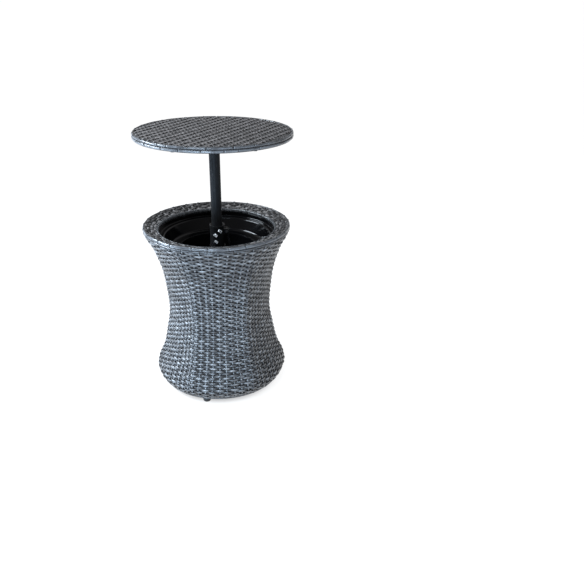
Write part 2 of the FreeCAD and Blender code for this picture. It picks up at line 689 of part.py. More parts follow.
bar_z = lz0 + D["flange_thk"]
ARMS = [45.0, 135.0, 225.0, 315.0]
arms = []
for i, a in enumerate(ARMS[:2]):
    b = block("lid_bar_%d" % i, D["lid_bar_half"] * 2.0, D["lid_bar_wide"],
              D["lid_bar_tall"])
    b.Placement = FreeCAD.Placement(
        spun(a).multVec(FreeCAD.Vector(-D["lid_bar_half"].v,
                                       -D["lid_bar_wide"].v / 2, bar_z.v)),
        spun(a))
    arms.append(b)
cores = []
for i, a in enumerate(ARMS[:2]):
    c = block("lid_core_%d" % i, D["lid_bar_half"] * 2.0 + 4.0,
              D["lid_bar_wide"] - D["bar_wall"] * 2.0,
              D["lid_bar_tall"] - D["bar_wall"] * 2.0)
    c.Placement = FreeCAD.Placement(
        spun(a).multVec(FreeCAD.Vector(
            -D["lid_bar_half"].v - 2.0,
            -D["lid_bar_wide"].v / 2 + D["bar_wall"].v,
            bar_z.v + D["bar_wall"].v)), spun(a))
    cores.append(c)
arm_holes, flange_holes, liner_holes = [], [], []
flange_bolts, liner_bolts = [], []
for i, a in enumerate(ARMS):
    x, y = polar(D["flange_bolt_rad"], a)
    arm_holes.append(cylinder("arm_hole_%d" % i, 3.05, 8.0, x, y, bar_z - 1.0))
    flange_holes.append(cylinder("flange_hole_%d" % i, 3.1, 10.0, x, y,
                                 lz0 - 2.0))
    head = cylinder("flange_head_%d" % i, 5.5, 3.2, x, y, lz0 - 3.25)
    shank = cylinder("flange_shank_%d" % i, 3.0, 10.5, x, y, lz0 - 0.5)
    flange_bolts.append(fuse("flange_bolt_%d" % i, [head, shank]))
    for j, rad in enumerate((110.0, 205.0)):
        x, y = polar(rad, a)
        tag = "%d_%d" % (i, j)
        arm_holes.append(cylinder("arm_small_" + tag, 1.95, 8.0, x, y,
                                  bar_z - 1.0))
        liner_holes.append(cylinder("liner_hole_" + tag, 2.1, 10.0, x, y,
                                    lz0 - 2.0))
        head = cylinder("liner_head_" + tag, 4.0, 2.0, x, y, lz0 - 1.75)
        shank = cylinder("liner_shank_" + tag, 1.9, 9.5, x, y, lz0)
        liner_bolts.append(fuse("liner_bolt_" + tag, [head, shank]))
keep(cut("lid_bars_drilled", fuse("lid_bars", arms), cores + arm_holes),
     "lid_cross")
flange = turned("mast_flange", [
    (0, lz0), (D["flange_rad"], lz0), (D["flange_rad"], bar_z), (0, bar_z)])
keep(cut("mast_flange_drilled", flange, flange_holes), "lid_flange")
keep(group("flange_bolt_set", flange_bolts), "lid_flange_screws")
liner = turned("lid_liner_disc", [
    (D["flange_rad"] + 0.3, lz0 + 0.3), (lrr - 3.7, lz0 + 0.3),
    (lrr - 3.7, lz0 + 0.3 + D["liner_thk"]),
    (D["flange_rad"] + 0.3, lz0 + 0.3 + D["liner_thk"])])
keep(cut("lid_liner_drilled", liner, liner_holes), "lid_liner")
keep(group("liner_bolt_set", liner_bolts), "lid_liner_screws")
pads = []
for i in range(6):
    x, y = polar(D["bumper_pitch"], 60.0 * i)
    pads.append(cylinder("bumper_%d" % i, D["bumper_rad"], D["bumper_thk"],
                         x, y, lz0 + 0.25 - D["bumper_thk"]))
keep(group("bumper_set", pads), "lid_bumpers")

# ---------------------------------------------------------------- output
doc.recompute()
bad = []
for obj in doc.Objects:
    state = list(getattr(obj, "State", []))
    if "Invalid" in state or "Error" in state:
        bad.append("%s: %s" % (obj.Label, state))
for obj in NODES:
    shape = obj.Shape
    if shape.isNull() or not shape.isValid() or not shape.Solids:
        bad.append("%s: no valid solid" % obj.Label)
if bad:
    raise RuntimeError("failed objects: " + "; ".join(bad))
os.makedirs("parts", exist_ok=True)
for name in os.listdir("parts"):
    if name.endswith(".step"):
        os.remove(os.path.join("parts", name))
for obj in NODES:
    obj.Shape.exportStep(os.path.join("parts", obj.Label + ".step"))
    box = obj.Shape.BoundBox
    print("%-20s solids %d  volume %10.1f  z %.2f..%.2f"
          % (obj.Label, len(obj.Shape.Solids), obj.Shape.Volume, box.ZMin,
             box.ZMax))
print("nodes", len(NODES))
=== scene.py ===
import json
import math

import bpy
import numpy as np
from mathutils import Matrix, Vector


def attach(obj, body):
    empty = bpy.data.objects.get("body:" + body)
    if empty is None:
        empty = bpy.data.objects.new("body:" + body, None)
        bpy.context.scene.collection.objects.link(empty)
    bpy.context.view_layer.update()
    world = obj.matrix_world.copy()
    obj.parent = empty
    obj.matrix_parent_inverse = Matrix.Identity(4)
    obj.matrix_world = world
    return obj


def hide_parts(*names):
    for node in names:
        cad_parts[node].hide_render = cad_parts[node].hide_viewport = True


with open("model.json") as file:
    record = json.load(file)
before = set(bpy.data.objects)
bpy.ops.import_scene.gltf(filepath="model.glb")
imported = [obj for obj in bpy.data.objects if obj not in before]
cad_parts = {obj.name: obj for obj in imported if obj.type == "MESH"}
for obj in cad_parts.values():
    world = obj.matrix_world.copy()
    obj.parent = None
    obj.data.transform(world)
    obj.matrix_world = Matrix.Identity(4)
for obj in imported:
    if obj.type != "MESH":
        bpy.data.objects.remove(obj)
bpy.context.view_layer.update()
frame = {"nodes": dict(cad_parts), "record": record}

rng = np.random.default_rng(41)
MM = 0.001
scene = bpy.context.scene

# --------------------------------------------------------------------------
# the body's outline, the same stations as the frame: height, corner radius,
# share of hexagon in the plan
# --------------------------------------------------------------------------
OUTLINE = np.array([
    (24, 207.5, 0), (30, 214.5, .05), (38, 221.6, .12), (50, 226.8, .20),
    (66, 225.4, .30), (80, 222.8, .37), (100, 215.7, .44), (120, 205.6, .49),
    (140, 198.1, .52), (172, 190.2, .54), (209, 183, .55), (240, 176.7, .56),
    (272, 173.1, .56), (300, 173.8, .56), (330, 176, .56), (362, 179.5, .56),
    (394, 183.6, .54), (430, 191.4, .48), (465, 202.6, .38), (500, 214.6, .26),
    (530, 227.9, .12), (548, 235.5, .04), (558.6, 238.3, 0)])


def cubic(x, y, periodic=False):
    """Cubic spline through the points; returns a function."""
    x, y = np.asarray(x, float), np.asarray(y, float)
    h = np.diff(x)
    n = len(x)
    A, b = np.zeros((n, n)), np.zeros(n)
    for i in range(1, n - 1):
        A[i, i - 1], A[i, i], A[i, i + 1] = h[i - 1], 2 * (h[i - 1] + h[i]), h[i]
        b[i] = 6 * ((y[i + 1] - y[i]) / h[i] - (y[i] - y[i - 1]) / h[i - 1])
    if periodic:
        A[0, 0], A[0, -1] = 1, -1
        A[-1, 0], A[-1, 1] = 2 * h[0], h[0]
        A[-1, -2], A[-1, -1] = h[-1], 2 * h[-1]
        b[-1] = 6 * ((y[1] - y[0]) / h[0] - (y[-1] - y[-2]) / h[-1])
    else:
        A[0, 0] = A[-1, -1] = 1
    m = np.linalg.solve(A, b)

    def at(q):
        q = np.asarray(q, float)
        i = np.clip(np.searchsorted(x, q) - 1, 0, n - 2)
        t = q - x[i]
        s = x[i + 1] - q
        return (m[i] * s ** 3 + m[i + 1] * t ** 3) / (6 * h[i]) \
            + (y[i] / h[i] - m[i] * h[i] / 6) * s \
            + (y[i + 1] / h[i] - m[i + 1] * h[i] / 6) * t
    return at


corner_at = cubic(OUTLINE[:, 0], OUTLINE[:, 1])
blend_at = cubic(OUTLINE[:, 0], OUTLINE[:, 2])
_deg = np.arange(0, 361, 10.0)
_hex = math.cos(math.radians(30)) / np.cos(np.radians((_deg % 60) - 30))
hex_at = cubic(_deg, _hex, periodic=True)


def skin_radius(az, z):
    """Outer radius of the body in mm. az in radians from +X, z in mm."""
    k = np.clip(blend_at(z), 0, 1)
    return corner_at(z) * ((1 - k) + k * hex_at(np.degrees(az) % 360.0))


def skin(az, z):
    """Point on the body's outer surface and its outward normal, in mm."""
    d = 1e-3
    r = skin_radius(az, z)
    ra = (skin_radius(az + d, z) - skin_radius(az - d, z)) / (2 * d)
    rz = (skin_radius(az, np.minimum(z + .3, 558.6))
          - skin_radius(az, np.maximum(z - .3, 24.0))) \
        / (np.minimum(z + .3, 558.6) - np.maximum(z - .3, 24.0))
    c, s = np.cos(az), np.sin(az)
    p = np.stack([r * c, r * s, z + 0 * r], -1)
    n = np.stack([c + ra / r * s, s - ra / r * c, -rz + 0 * c], -1)
    return p, n / np.linalg.norm(n, axis=-1, keepdims=True)


# --------------------------------------------------------------------------
# strands: flat strips swept along their centre lines
# --------------------------------------------------------------------------
CROWNED = np.array([(-.5, -.16), (-.30, -.5), (.30, -.5), (.5, -.16),
                    (.40, .22), (0, .5), (-.40, .22)])
ROUNDED = np.array([(-.5, 0), (-.36, -.38), (0, -.5), (.36, -.38), (.5, 0),
                    (.38, .33), (.14, .49), (-.14, .49), (-.38, .33)])


def unit(v):
    return v / np.maximum(np.linalg.norm(v, axis=-1, keepdims=True), 1e-12)


class Strands:
    """Collects swept strips into one mesh. Each point keeps the strand's own
    number, its place along the strand in metres and its place across it."""

    def __init__(self):
        self.v, self.f, self.a, self.n = [], [], [], 0
        self.d = []

    def sweep(self, P, N, wide, thick, section=CROWNED, closed=False,
              roll=None, start=0.0, tone=None, caps=True, deep=None):
        P, N = np.asarray(P, float), np.asarray(N, float)
        deep = np.zeros(len(P)) if deep is None else np.asarray(deep, float)
        if closed:
            P = np.vstack([P, P[:1]])
            N = np.vstack([N, N[:1]])
            deep = np.append(deep, deep[0])
            T = np.vstack([P[1:], P[1:2]]) - np.vstack([P[-2:-1], P[:-1]])
        else:
            T = np.gradient(P, axis=0)
        T = unit(T)
        N = unit(N - (N * T).sum(-1, keepdims=True) * T)
        B = np.cross(N, T)
        n = len(P)
        if roll is not None:
            r = np.asarray(roll, float)
            if closed:
                r = np.append(r, r[0])
            c, s = np.cos(r)[:, None], np.sin(r)[:, None]
            N, B = N * c + B * s, B * c - N * s
        wide = np.broadcast_to(np.asarray(wide, float), (n,)) if np.ndim(wide) == 0 \
            else (np.append(wide, wide[0]) if closed else np.asarray(wide, float))
        thick = np.broadcast_to(np.asarray(thick, float), (n,)) if np.ndim(thick) == 0 \
            else (np.append(thick, thick[0]) if closed else np.asarray(thick, float))
        m = len(section)
        V = P[:, None] + B[:, None] * (wide[:, None] * section[None, :, 0])[..., None] \
            + N[:, None] * (thick[:, None] * section[None, :, 1])[..., None]
        along = np.concatenate([[0], np.cumsum(np.linalg.norm(np.diff(P, axis=0), axis=1))]) * MM
        tone = rng.random() if tone is None else tone
        A = np.zeros((n, m, 3))
        A[..., 0] = tone
        A[..., 1] = (along + start)[:, None]
        A[..., 2] = section[None, :, 0] * 1.0
        i, j = np.meshgrid(np.arange(n - 1), np.arange(m), indexing="ij")
        j2 = (j + 1) % m
        base = self.n
        F = np.stack([base + i * m + j, base + i * m + j2,
                      base + (i + 1) * m + j2, base + (i + 1) * m + j], -1).reshape(-1, 4)
        self.v.append(V.reshape(-1, 3))
        self.a.append(A.reshape(-1, 3))
        self.d.append(np.repeat(deep, m))
        self.f += F.tolist()
        if caps and not closed:
            self.f.append(list(range(base, base + m))[::-1])
            self.f.append(list(range(base + (n - 1) * m, base + n * m)))
        self.n += n * m

    def make(self, name, material, body, slot="weave", flat=False):
        mesh = bpy.data.meshes.new(name)
        v = np.vstack(self.v) * MM
        mesh.from_pydata(v.tolist(), [], self.f)
        mesh.polygons.foreach_set("use_smooth", [not flat] * len(mesh.polygons))
        at = mesh.attributes.new("strand", "FLOAT_VECTOR", "POINT")
        at.data.foreach_set("vector", np.vstack(self.a).astype(np.float32).ravel())
        dp = mesh.attributes.new("sunk", "FLOAT", "POINT")
        dp.data.foreach_set("value", np.concatenate(self.d).astype(np.float32))
        mesh.update()
        o = bpy.data.objects.new(name, mesh)
        scene.collection.objects.link(o)
        mesh.materials.append(material)
        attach(o, body)
        return o


# --------------------------------------------------------------------------
# materials
# --------------------------------------------------------------------------
class Tree:
    """Short way to write a node material."""

    def __init__(self, name):
        self.m = bpy.data.materials.new(name)
        self.m.use_nodes = True
        self.t = self.m.node_tree
        self.bsdf = self.t.nodes["Principled BSDF"]

    def node(self, kind, **props):
        n = self.t.nodes.new("ShaderNode" + kind)
        for k, v in props.items():
            if k.startswith("in_"):
                n.inputs[k[3:].replace("_", " ")].default_value = v
            else:
                setattr(n, k, v)
        return n

    def link(self, a, b):
        self.t.links.new(a, b)

    def math(self, op, a, b=None, clamp=False):
        n = self.node("Math", operation=op, use_clamp=clamp)
        for k, v in enumerate([a, b]):
            if v is None:
                continue
            if isinstance(v, (int, float)):
                n.inputs[k].default_value = v
            else:
                self.link(v, n.inputs[k])
        return n.outputs[0]

    def ramp(self, fac, stops, smooth=False):
        n = self.node("ValToRGB")
        if smooth:
            n.color_ramp.interpolation = "EASE"
        e = n.color_ramp.elements
        while len(e) > 1:
            e.remove(e[-1])
        for k, (pos, col) in enumerate(stops):
            col = (*col, 1.0) if isinstance(col, tuple) else (col, col, col, 1.0)
            if k == 0:
                e[0].position, e[0].color = pos, col
            else:
                x = e.new(pos)
                x.color = col
        self.link(fac, n.inputs["Fac"])
        return n.outputs["Color"]

    def noise(self, vec, scale, detail=3.0, rough=0.55, dims="3D", distort=0.0):
        n = self.node("TexNoise", noise_dimensions=dims)
        n.inputs["Scale"].default_value = scale
        n.inputs["Detail"].default_value = detail
        n.inputs["Roughness"].default_value = rough
        n.inputs["Distortion"].default_value = distort
        if vec is not None:
            self.link(vec, n.inputs["Vector"])
        return n.outputs["Fac"]

    def mix(self, fac, a, b, mode="MIX"):
        n = self.node("Mix", data_type="RGBA", blend_type=mode)
        for k, v in ((0, fac), (6, a), (7, b)):
            if isinstance(v, (int, float)):
                n.inputs[k].default_value = v
            elif isinstance(v, tuple):
                n.inputs[k].default_value = (*v, 1.0)
            else:
                self.link(v, n.inputs[k])
        return n.outputs[2]

    def combine(self, x, y, z):
        n = self.node("CombineXYZ")
        for k, v in enumerate((x, y, z)):
            if isinstance(v, (int, float)):
                n.inputs[k].default_value = v
            else:
                self.link(v, n.inputs[k])
        return n.outputs[0]


def strand_material(name, dark, mid, light, rough=(0.30, 0.52), crevice=0.14,
                    spread=1.0, rub_and_highlight=0.22):
    """Extruded synthetic strand: streaky greys that run along the strand,
    tone shifts from strand to strand, fine lengthwise ribs and a satin skin.
    Painted shade darkens what lies deep in the weave and the strands' own edges; rubbed wear
    together with a painted highlight lightens the crests."""
    t = Tree(name)
    at = t.node("Attribute", attribute_name="strand")
    sunk = t.node("Attribute", attribute_name="sunk").outputs["Fac"]
    sep = t.node("SeparateXYZ")
    t.link(at.outputs["Vector"], sep.inputs[0])
    own, along, across = sep.outputs
    number = t.math("MULTIPLY", own, 73.0)
    # long streaks
    streak_at = t.combine(t.math("MULTIPLY", along, 9.0),
                          t.math("MULTIPLY", across, 5.5), number)
    streak = t.noise(streak_at, 1.0, 4.0, 0.62)
    # short mottling of the colour along the strand
    patch_at = t.combine(t.math("MULTIPLY", along, 34.0),
                         t.math("MULTIPLY", across, 1.0), t.math("ADD", number, 11.0))
    patch = t.noise(patch_at, 1.0, 2.0, 0.5)
    shade = t.math("ADD", t.math("MULTIPLY", t.math("SUBTRACT", streak, 0.5), 0.8 * spread),
                   t.math("MULTIPLY", t.math("SUBTRACT", patch, 0.5), 1.35 * spread))
    shade = t.math("ADD", shade, t.math("MULTIPLY", t.math("SUBTRACT", own, 0.5), 0.34))
    shade = t.math("ADD", shade, 0.5)
    colour = t.ramp(shade, [(0.16, dark), (0.48, mid), (0.72, light),
                            (0.95, tuple(c * 1.35 for c in light))])
    # fine pale flecks where the skin is scuffed
    fleck_at = t.combine(t.math("MULTIPLY", along, 240.0),
                         t.math("MULTIPLY", across, 14.0), t.math("ADD", number, 5.0))
    fleck = t.noise(fleck_at, 1.0, 2.0, 0.6)
    fleck_mask = t.ramp(fleck, [(0.66, 0.0), (0.78, 1.0)])
    colour = t.mix(t.math("MULTIPLY", fleck_mask, 0.30), colour,
                   tuple(min(1.0, c * 1.6) for c in light))
    rim = t.math("MULTIPLY", t.math("ABSOLUTE", across), 2.0)
    # painted shade: darker where the strand lies deep under its neighbour and along its edges,
    # where shade falls between strands
    painted_shade = t.math("MAXIMUM", t.ramp(sunk, [(0.16, 0.0), (0.66, 1.0)]),
                   t.math("MULTIPLY", t.ramp(rim, [(0.66, 0.0), (1.0, 1.0)]), 0.75))
    colour = t.mix(t.math("MULTIPLY", painted_shade, 1.0 - crevice), colour,
                   tuple(c * 0.30 for c in dark))
    # rubbed wear and painted highlight: the crests of the weave are lightened
    crest = t.math("MULTIPLY", t.ramp(sunk, [(0.0, 1.0), (0.20, 0.0)]),
                   t.ramp(rim, [(0.35, 1.0), (0.75, 0.0)]))
    colour = t.mix(t.math("MULTIPLY", crest, rub_and_highlight), colour,
                   tuple(min(1.0, c * 1.5) for c in light))
    t.link(colour, t.bsdf.inputs["Base Color"])
    r = t.node("MapRange")
    t.link(streak, r.inputs["Value"])
    r.inputs["From Min"].default_value = 0.3
    r.inputs["From Max"].default_value = 0.7
    r.inputs["To Min"].default_value = rough[0]
    r.inputs["To Max"].default_value = rough[1]
    t.link(t.math("ADD", r.outputs[0], t.math("MULTIPLY", painted_shade, 0.25)),
           t.bsdf.inputs["Roughness"])
    # lengthwise ribs and a little unevenness
    rib = t.math("SINE", t.math("MULTIPLY", across, 44.0))
    rib = t.math("MULTIPLY", t.math("ADD", t.math("MULTIPLY", rib, 0.5), 0.5), 0.35)
    height = t.math("ADD", rib, t.math("MULTIPLY", streak, 0.8))
    height = t.math("ADD", height, t.math("MULTIPLY", fleck, 0.25))
    bump = t.node("Bump")
    bump.inputs["Strength"].default_value = 0.5
    bump.inputs["Distance"].default_value = 0.0002
    t.link(height, bump.inputs["Height"])
    t.link(bump.outputs[0], t.bsdf.inputs["Normal"])
    t.bsdf.inputs["IOR"].default_value = 1.5
    t.bsdf.inputs["Specular IOR Level"].default_value = 0.7
    return t.m


def object_coords(t):
    return t.node("TexCoord").outputs["Object"]


def coated_metal(name, base, rough=0.42, grain=1400.0, grain_depth=0.00006,
                 edge=0.0004, worn=(0.30, 0.30, 0.31), wear=0.35, spec=0.4, film=0.006):
    """Powder-coated steel: fine orange-peel grain, soft edges, faint rubs."""
    t = Tree(name)
    co = object_coords(t)
    cloud = t.noise(co, 22.0, 4.0, 0.6)
    fine = t.noise(co, grain, 2.0, 0.5)
    scuff_at = t.node("Mapping", vector_type="POINT")
    scuff_at.inputs["Scale"].default_value = (1.0, 1.0, 0.16)
    t.link(co, scuff_at.inputs["Vector"])
    scuff = t.noise(scuff_at.outputs[0], 160.0, 5.0, 0.72)
    dust = t.mix(t.ramp(cloud, [(0.40, 0.0), (0.72, 1.0)]), base,
                 tuple(min(1, c * 1.55 + film) for c in base))
    geo = t.node("NewGeometry")
    edge_mask = t.ramp(geo.outputs["Pointiness"], [(0.515, 0.0), (0.58, 1.0)])
    scuff_mask = t.ramp(scuff, [(0.60, 0.0), (0.70, 1.0)])
    mask = t.math("MULTIPLY", edge_mask, t.math("ADD", t.math("MULTIPLY", scuff_mask, 0.8), 0.2))
    mask = t.math("ADD", t.math("MULTIPLY", mask, wear),
                  t.math("MULTIPLY", scuff_mask, 0.05), clamp=True)
    colour = t.mix(mask, dust, worn)
    t.link(colour, t.bsdf.inputs["Base Color"])
    r = t.math("ADD", t.math("MULTIPLY", cloud, 0.20),
               t.math("MULTIPLY", scuff_mask, 0.10))
    t.link(t.math("ADD", r, rough - 0.12), t.bsdf.inputs["Roughness"])
    bump = t.node("Bump")
    bump.inputs["Strength"].default_value = 0.5
    bump.inputs["Distance"].default_value = grain_depth
    t.link(t.math("ADD", fine, t.math("MULTIPLY", scuff, 0.5)), bump.inputs["Height"])
    bevel = t.node("Bevel", samples=4)
    bevel.inputs["Radius"].default_value = edge
    t.link(bevel.outputs[0], bump.inputs["Normal"])
    t.link(bump.outputs[0], t.bsdf.inputs["Normal"])
    t.bsdf.inputs["IOR"].default_value = 1.5
    t.bsdf.inputs["Specular IOR Level"].default_value = spec
    return t.m


def moulded(name, base, rough=0.35, gloss_var=0.16, grain=900.0, depth=0.00004,
            edge=0.0006, dust=(0.09, 0.09, 0.095), dust_by=0.35, coat=0.0, spec=0.5):
    """Moulded plastic or rubber: faint flow marks, dust in patches, small
    scratches, rounded edges."""
    t = Tree(name)
    co = object_coords(t)
    cloud = t.noise(co, 14.0, 5.0, 0.6, distort=0.4)
    fine = t.noise(co, grain, 2.0, 0.5)
    scratch_at = t.node("Mapping")
    scratch_at.inputs["Rotation"].default_value = (0.4, 0.2, 0.7)
    scratch_at.inputs["Scale"].default_value = (1.0, 14.0, 1.0)
    t.link(co, scratch_at.inputs["Vector"])
    scratch = t.noise(scratch_at.outputs[0], 55.0, 3.0, 0.6)
    scratch_mask = t.ramp(scratch, [(0.66, 0.0), (0.72, 1.0)])
    film = t.math("MULTIPLY", t.ramp(cloud, [(0.46, 0.0), (0.80, 1.0)]), dust_by)
    film = t.math("ADD", film, t.math("MULTIPLY", scratch_mask, 0.10), clamp=True)
    t.link(t.mix(film, base, dust), t.bsdf.inputs["Base Color"])
    r = t.math("ADD", t.math("MULTIPLY", cloud, gloss_var),
               t.math("MULTIPLY", scratch_mask, 0.12))
    t.link(t.math("ADD", r, rough - gloss_var * 0.5), t.bsdf.inputs["Roughness"])
    bump = t.node("Bump")
    bump.inputs["Strength"].default_value = 0.4
    bump.inputs["Distance"].default_value = depth
    t.link(t.math("ADD", fine, scratch), bump.inputs["Height"])
    bevel = t.node("Bevel", samples=4)
    bevel.inputs["Radius"].default_value = edge
    t.link(bevel.outputs[0], bump.inputs["Normal"])
    t.link(bump.outputs[0], t.bsdf.inputs["Normal"])
    t.bsdf.inputs["IOR"].default_value = 1.49
    t.bsdf.inputs["Specular IOR Level"].default_value = spec
    if coat:
        t.bsdf.inputs["Coat Weight"].default_value = coat
        t.bsdf.inputs["Coat Roughness"].default_value = 0.08
    return t.m


def plated(name):
    """Zinc-plated screws: bright, fine brushing, dull spots."""
    t = Tree(name)
    co = object_coords(t)
    brush_at = t.node("Mapping")
    brush_at.inputs["Scale"].default_value = (1.0, 9.0, 1.0)
    t.link(co, brush_at.inputs["Vector"])
    brush = t.noise(brush_at.outputs[0], 900.0, 3.0, 0.6)
    cloud = t.noise(co, 260.0, 4.0, 0.6)
    dull = t.ramp(cloud, [(0.42, 0.0), (0.66, 1.0)])
    t.link(t.mix(dull, (0.96, 0.96, 0.97), (0.74, 0.74, 0.73)),
           t.bsdf.inputs["Base Color"])
    t.link(t.math("ADD", t.math("MULTIPLY", brush, 0.16),
                  t.math("ADD", t.math("MULTIPLY", dull, 0.14), 0.14)),
           t.bsdf.inputs["Roughness"])
    t.bsdf.inputs["Metallic"].default_value = 0.35
    bump = t.node("Bump")
    bump.inputs["Strength"].default_value = 0.4
    bump.inputs["Distance"].default_value = 0.00005
    t.link(brush, bump.inputs["Height"])
    bevel = t.node("Bevel", samples=4)
    bevel.inputs["Radius"].default_value = 0.0005
    t.link(bevel.outputs[0], bump.inputs["Normal"])
    t.link(bump.outputs[0], t.bsdf.inputs["Normal"])
    return t.m


M_WEAVE = strand_material("weave_strand", (0.019, 0.019, 0.022),
                          (0.050, 0.0515, 0.056), (0.170, 0.175, 0.182),
                          rough=(0.16, 0.33), rub_and_highlight=0.20, spread=1.40)
M_LID = strand_material("lid_strand", (0.032, 0.028, 0.027),
                        (0.082, 0.073, 0.070), (0.155, 0.140, 0.136),
                        rough=(0.36, 0.54), rub_and_highlight=0.12, spread=0.75)
# near-black strands for the backing strips: painted shade
M_SHADE_BACKING = strand_material("shade_backing_strand", (0.010, 0.010, 0.011),
                            (0.020, 0.020, 0.022), (0.040, 0.041, 0.044),
                            rough=(0.45, 0.62), rub_and_highlight=0.0, crevice=0.6)
M_LIDBAR = strand_material("lid_bar_strand", (0.075, 0.069, 0.067),
                           (0.140, 0.130, 0.127), (0.215, 0.202, 0.198),
                           rough=(0.32, 0.48), rub_and_highlight=0.10, spread=0.7)
M_RIM = strand_material("rim_strand", (0.015, 0.0145, 0.015),
                        (0.044, 0.042, 0.042), (0.215, 0.202, 0.198),
                        rough=(0.24, 0.40), rub_and_highlight=0.10, spread=1.25)
M_EDGE = strand_material("edge_strand", (0.022, 0.023, 0.025),
                         (0.050, 0.052, 0.057), (0.108, 0.113, 0.121),
                         rough=(0.10, 0.24), spread=0.9, rub_and_highlight=0.0)
M_LIP = strand_material("lip_strand", (0.024, 0.024, 0.026),
                        (0.050, 0.052, 0.056), (0.095, 0.100, 0.108),
                        rough=(0.14, 0.30), spread=0.8, rub_and_highlight=0.0)
M_FRAME = coated_metal("frame_coat", (0.022, 0.022, 0.024), rough=0.48)
M_MAST = coated_metal("mast_coat", (0.0036, 0.0038, 0.0042), rough=0.40, wear=0.2,
                      worn=(0.14, 0.14, 0.145), film=0.002,
                      edge=0.0003, grain=2200.0, grain_depth=0.00003, spec=0.05)
M_PIN = coated_metal("pin_black", (0.016, 0.016, 0.017), rough=0.34, wear=0.25,
                     edge=0.0004, grain=1800.0, grain_depth=0.00003, spec=0.3)
M_TUB = moulded("tub_plastic", (0.0016, 0.0016, 0.0019), rough=0.11, gloss_var=0.05,
                dust=(0.012, 0.012, 0.013), dust_by=0.08, depth=0.00002, spec=0.26)
M_NYLON = moulded("nylon_black", (0.006, 0.006, 0.0065), rough=0.34,
                  dust=(0.03, 0.03, 0.032), dust_by=0.25, edge=0.0009, spec=0.30)
M_LINER = moulded("liner_sheet", (0.022, 0.022, 0.024), rough=0.50,
                  grain=500.0, depth=0.00012, dust_by=0.4)
M_RUBBER = moulded("rubber_black", (0.014, 0.014, 0.014), rough=0.66,
                   grain=1500.0, depth=0.00008, dust_by=0.55, edge=0.0008)
M_BRIGHT = plated("plated_steel")
BY_SLOT = {"weave": M_WEAVE, "frame": M_FRAME, "mast": M_MAST, "tub": M_TUB,
           "nylon": M_NYLON, "liner": M_LINER, "rubber": M_RUBBER,
           "bright": M_BRIGHT}
slot_of = {s["node"]: s["material_slot"] for s in frame["record"]["subparts"]}
for node, o in frame["nodes"].items():
    o.data.materials.clear()
    o.data.materials.append(M_PIN if node == "lever_pin" else BY_SLOT[slot_of[node]])

# --------------------------------------------------------------------------
# woven body
# --------------------------------------------------------------------------
STAKES = 60
PER_SIDE = 10.0
SEG = 8
n_around = STAKES * SEG

zz = np.linspace(24.0, 558.6, 1200)
mid_r = corner_at(zz) * (1 - 0.07 * np.clip(blend_at(zz), 0, 1))
arc = np.concatenate([[0], np.cumsum(np.hypot(np.diff(zz), np.diff(mid_r)))])
LOW_ARC = 5.6


def pitch_at(a):
    """Row pitch in mm: a little coarser towards the rim."""
    t = np.clip((a - 360.0) / 130.0, 0, 1)
    return 8.02 + 0.72 * t * t * (3 - 2 * t)


edges = [LOW_ARC]
while edges[-1] < arc[-1] - 2.0:
    edges.append(edges[-1] + pitch_at(edges[-1]))
fit = (arc[-1] - 2.0 - LOW_ARC) / (edges[-1] - LOW_ARC)
edges = LOW_ARC + (np.array(edges) - LOW_ARC) * fit
rows = len(edges) - 1
row_arc = 0.5 * (edges[1:] + edges[:-1])
row_z = np.interp(row_arc, arc, zz)


def stake_angle(m, h):
    """Azimuth of stake number m (any real number, 0 at the middle of the
    front) at height share h. Stakes are shared out evenly along the sides of
    the hexagon and lean a little on their way up."""
    m = np.asarray(m, float)
    u = m / PER_SIDE - 0.05 * (1 - h) + 0.106 * h * np.sin(2 * math.pi * m / STAKES)
    side = np.round(u)
    return math.radians(-90.0) + side * math.radians(60.0) \
        + np.arctan((u - side) / 0.8660254)


def sag(az, a):
    """How far the rows lie off level, in mm of arc: higher towards the right
    front corner, and a slow wander round the rest."""
    d = np.degrees((az - math.radians(-62.0) + math.pi) % (2 * math.pi) - math.pi)
    lift = np.exp(-(np.minimum(d, 0) / 15.0) ** 2) * np.exp(-(np.maximum(d, 0) / 30.0) ** 2)
    slow = np.sin(2 * az + 0.4) + 0.7 * np.sin(3 * az + 2.1) + 0.5 * np.sin(5 * az + 4.0)
    ends = np.clip(a / 90.0, 0, 1) * np.clip((arc[-1] - a) / 110.0, 0, 1)
    return ends * (5.0 * lift + 1.0 * slow)


m_all = np.arange(n_around) / SEG - STAKES / 2


def smooth_noise(n, knots, rand):
    """Slow random wander of n points, closed on itself."""
    k = rand.standard_normal(knots)
    x = np.arange(n) * knots / n
    i = x.astype(int) % knots
    t = x - np.floor(x)
    t = t * t * (3 - 2 * t)
    return k[i] * (1 - t) + k[(i + 1) % knots] * t


def pressed(c, k=0.72):
    """A wave whose crests are broad and whose crossings are quick."""
    return np.sign(c) * np.abs(c) ** k


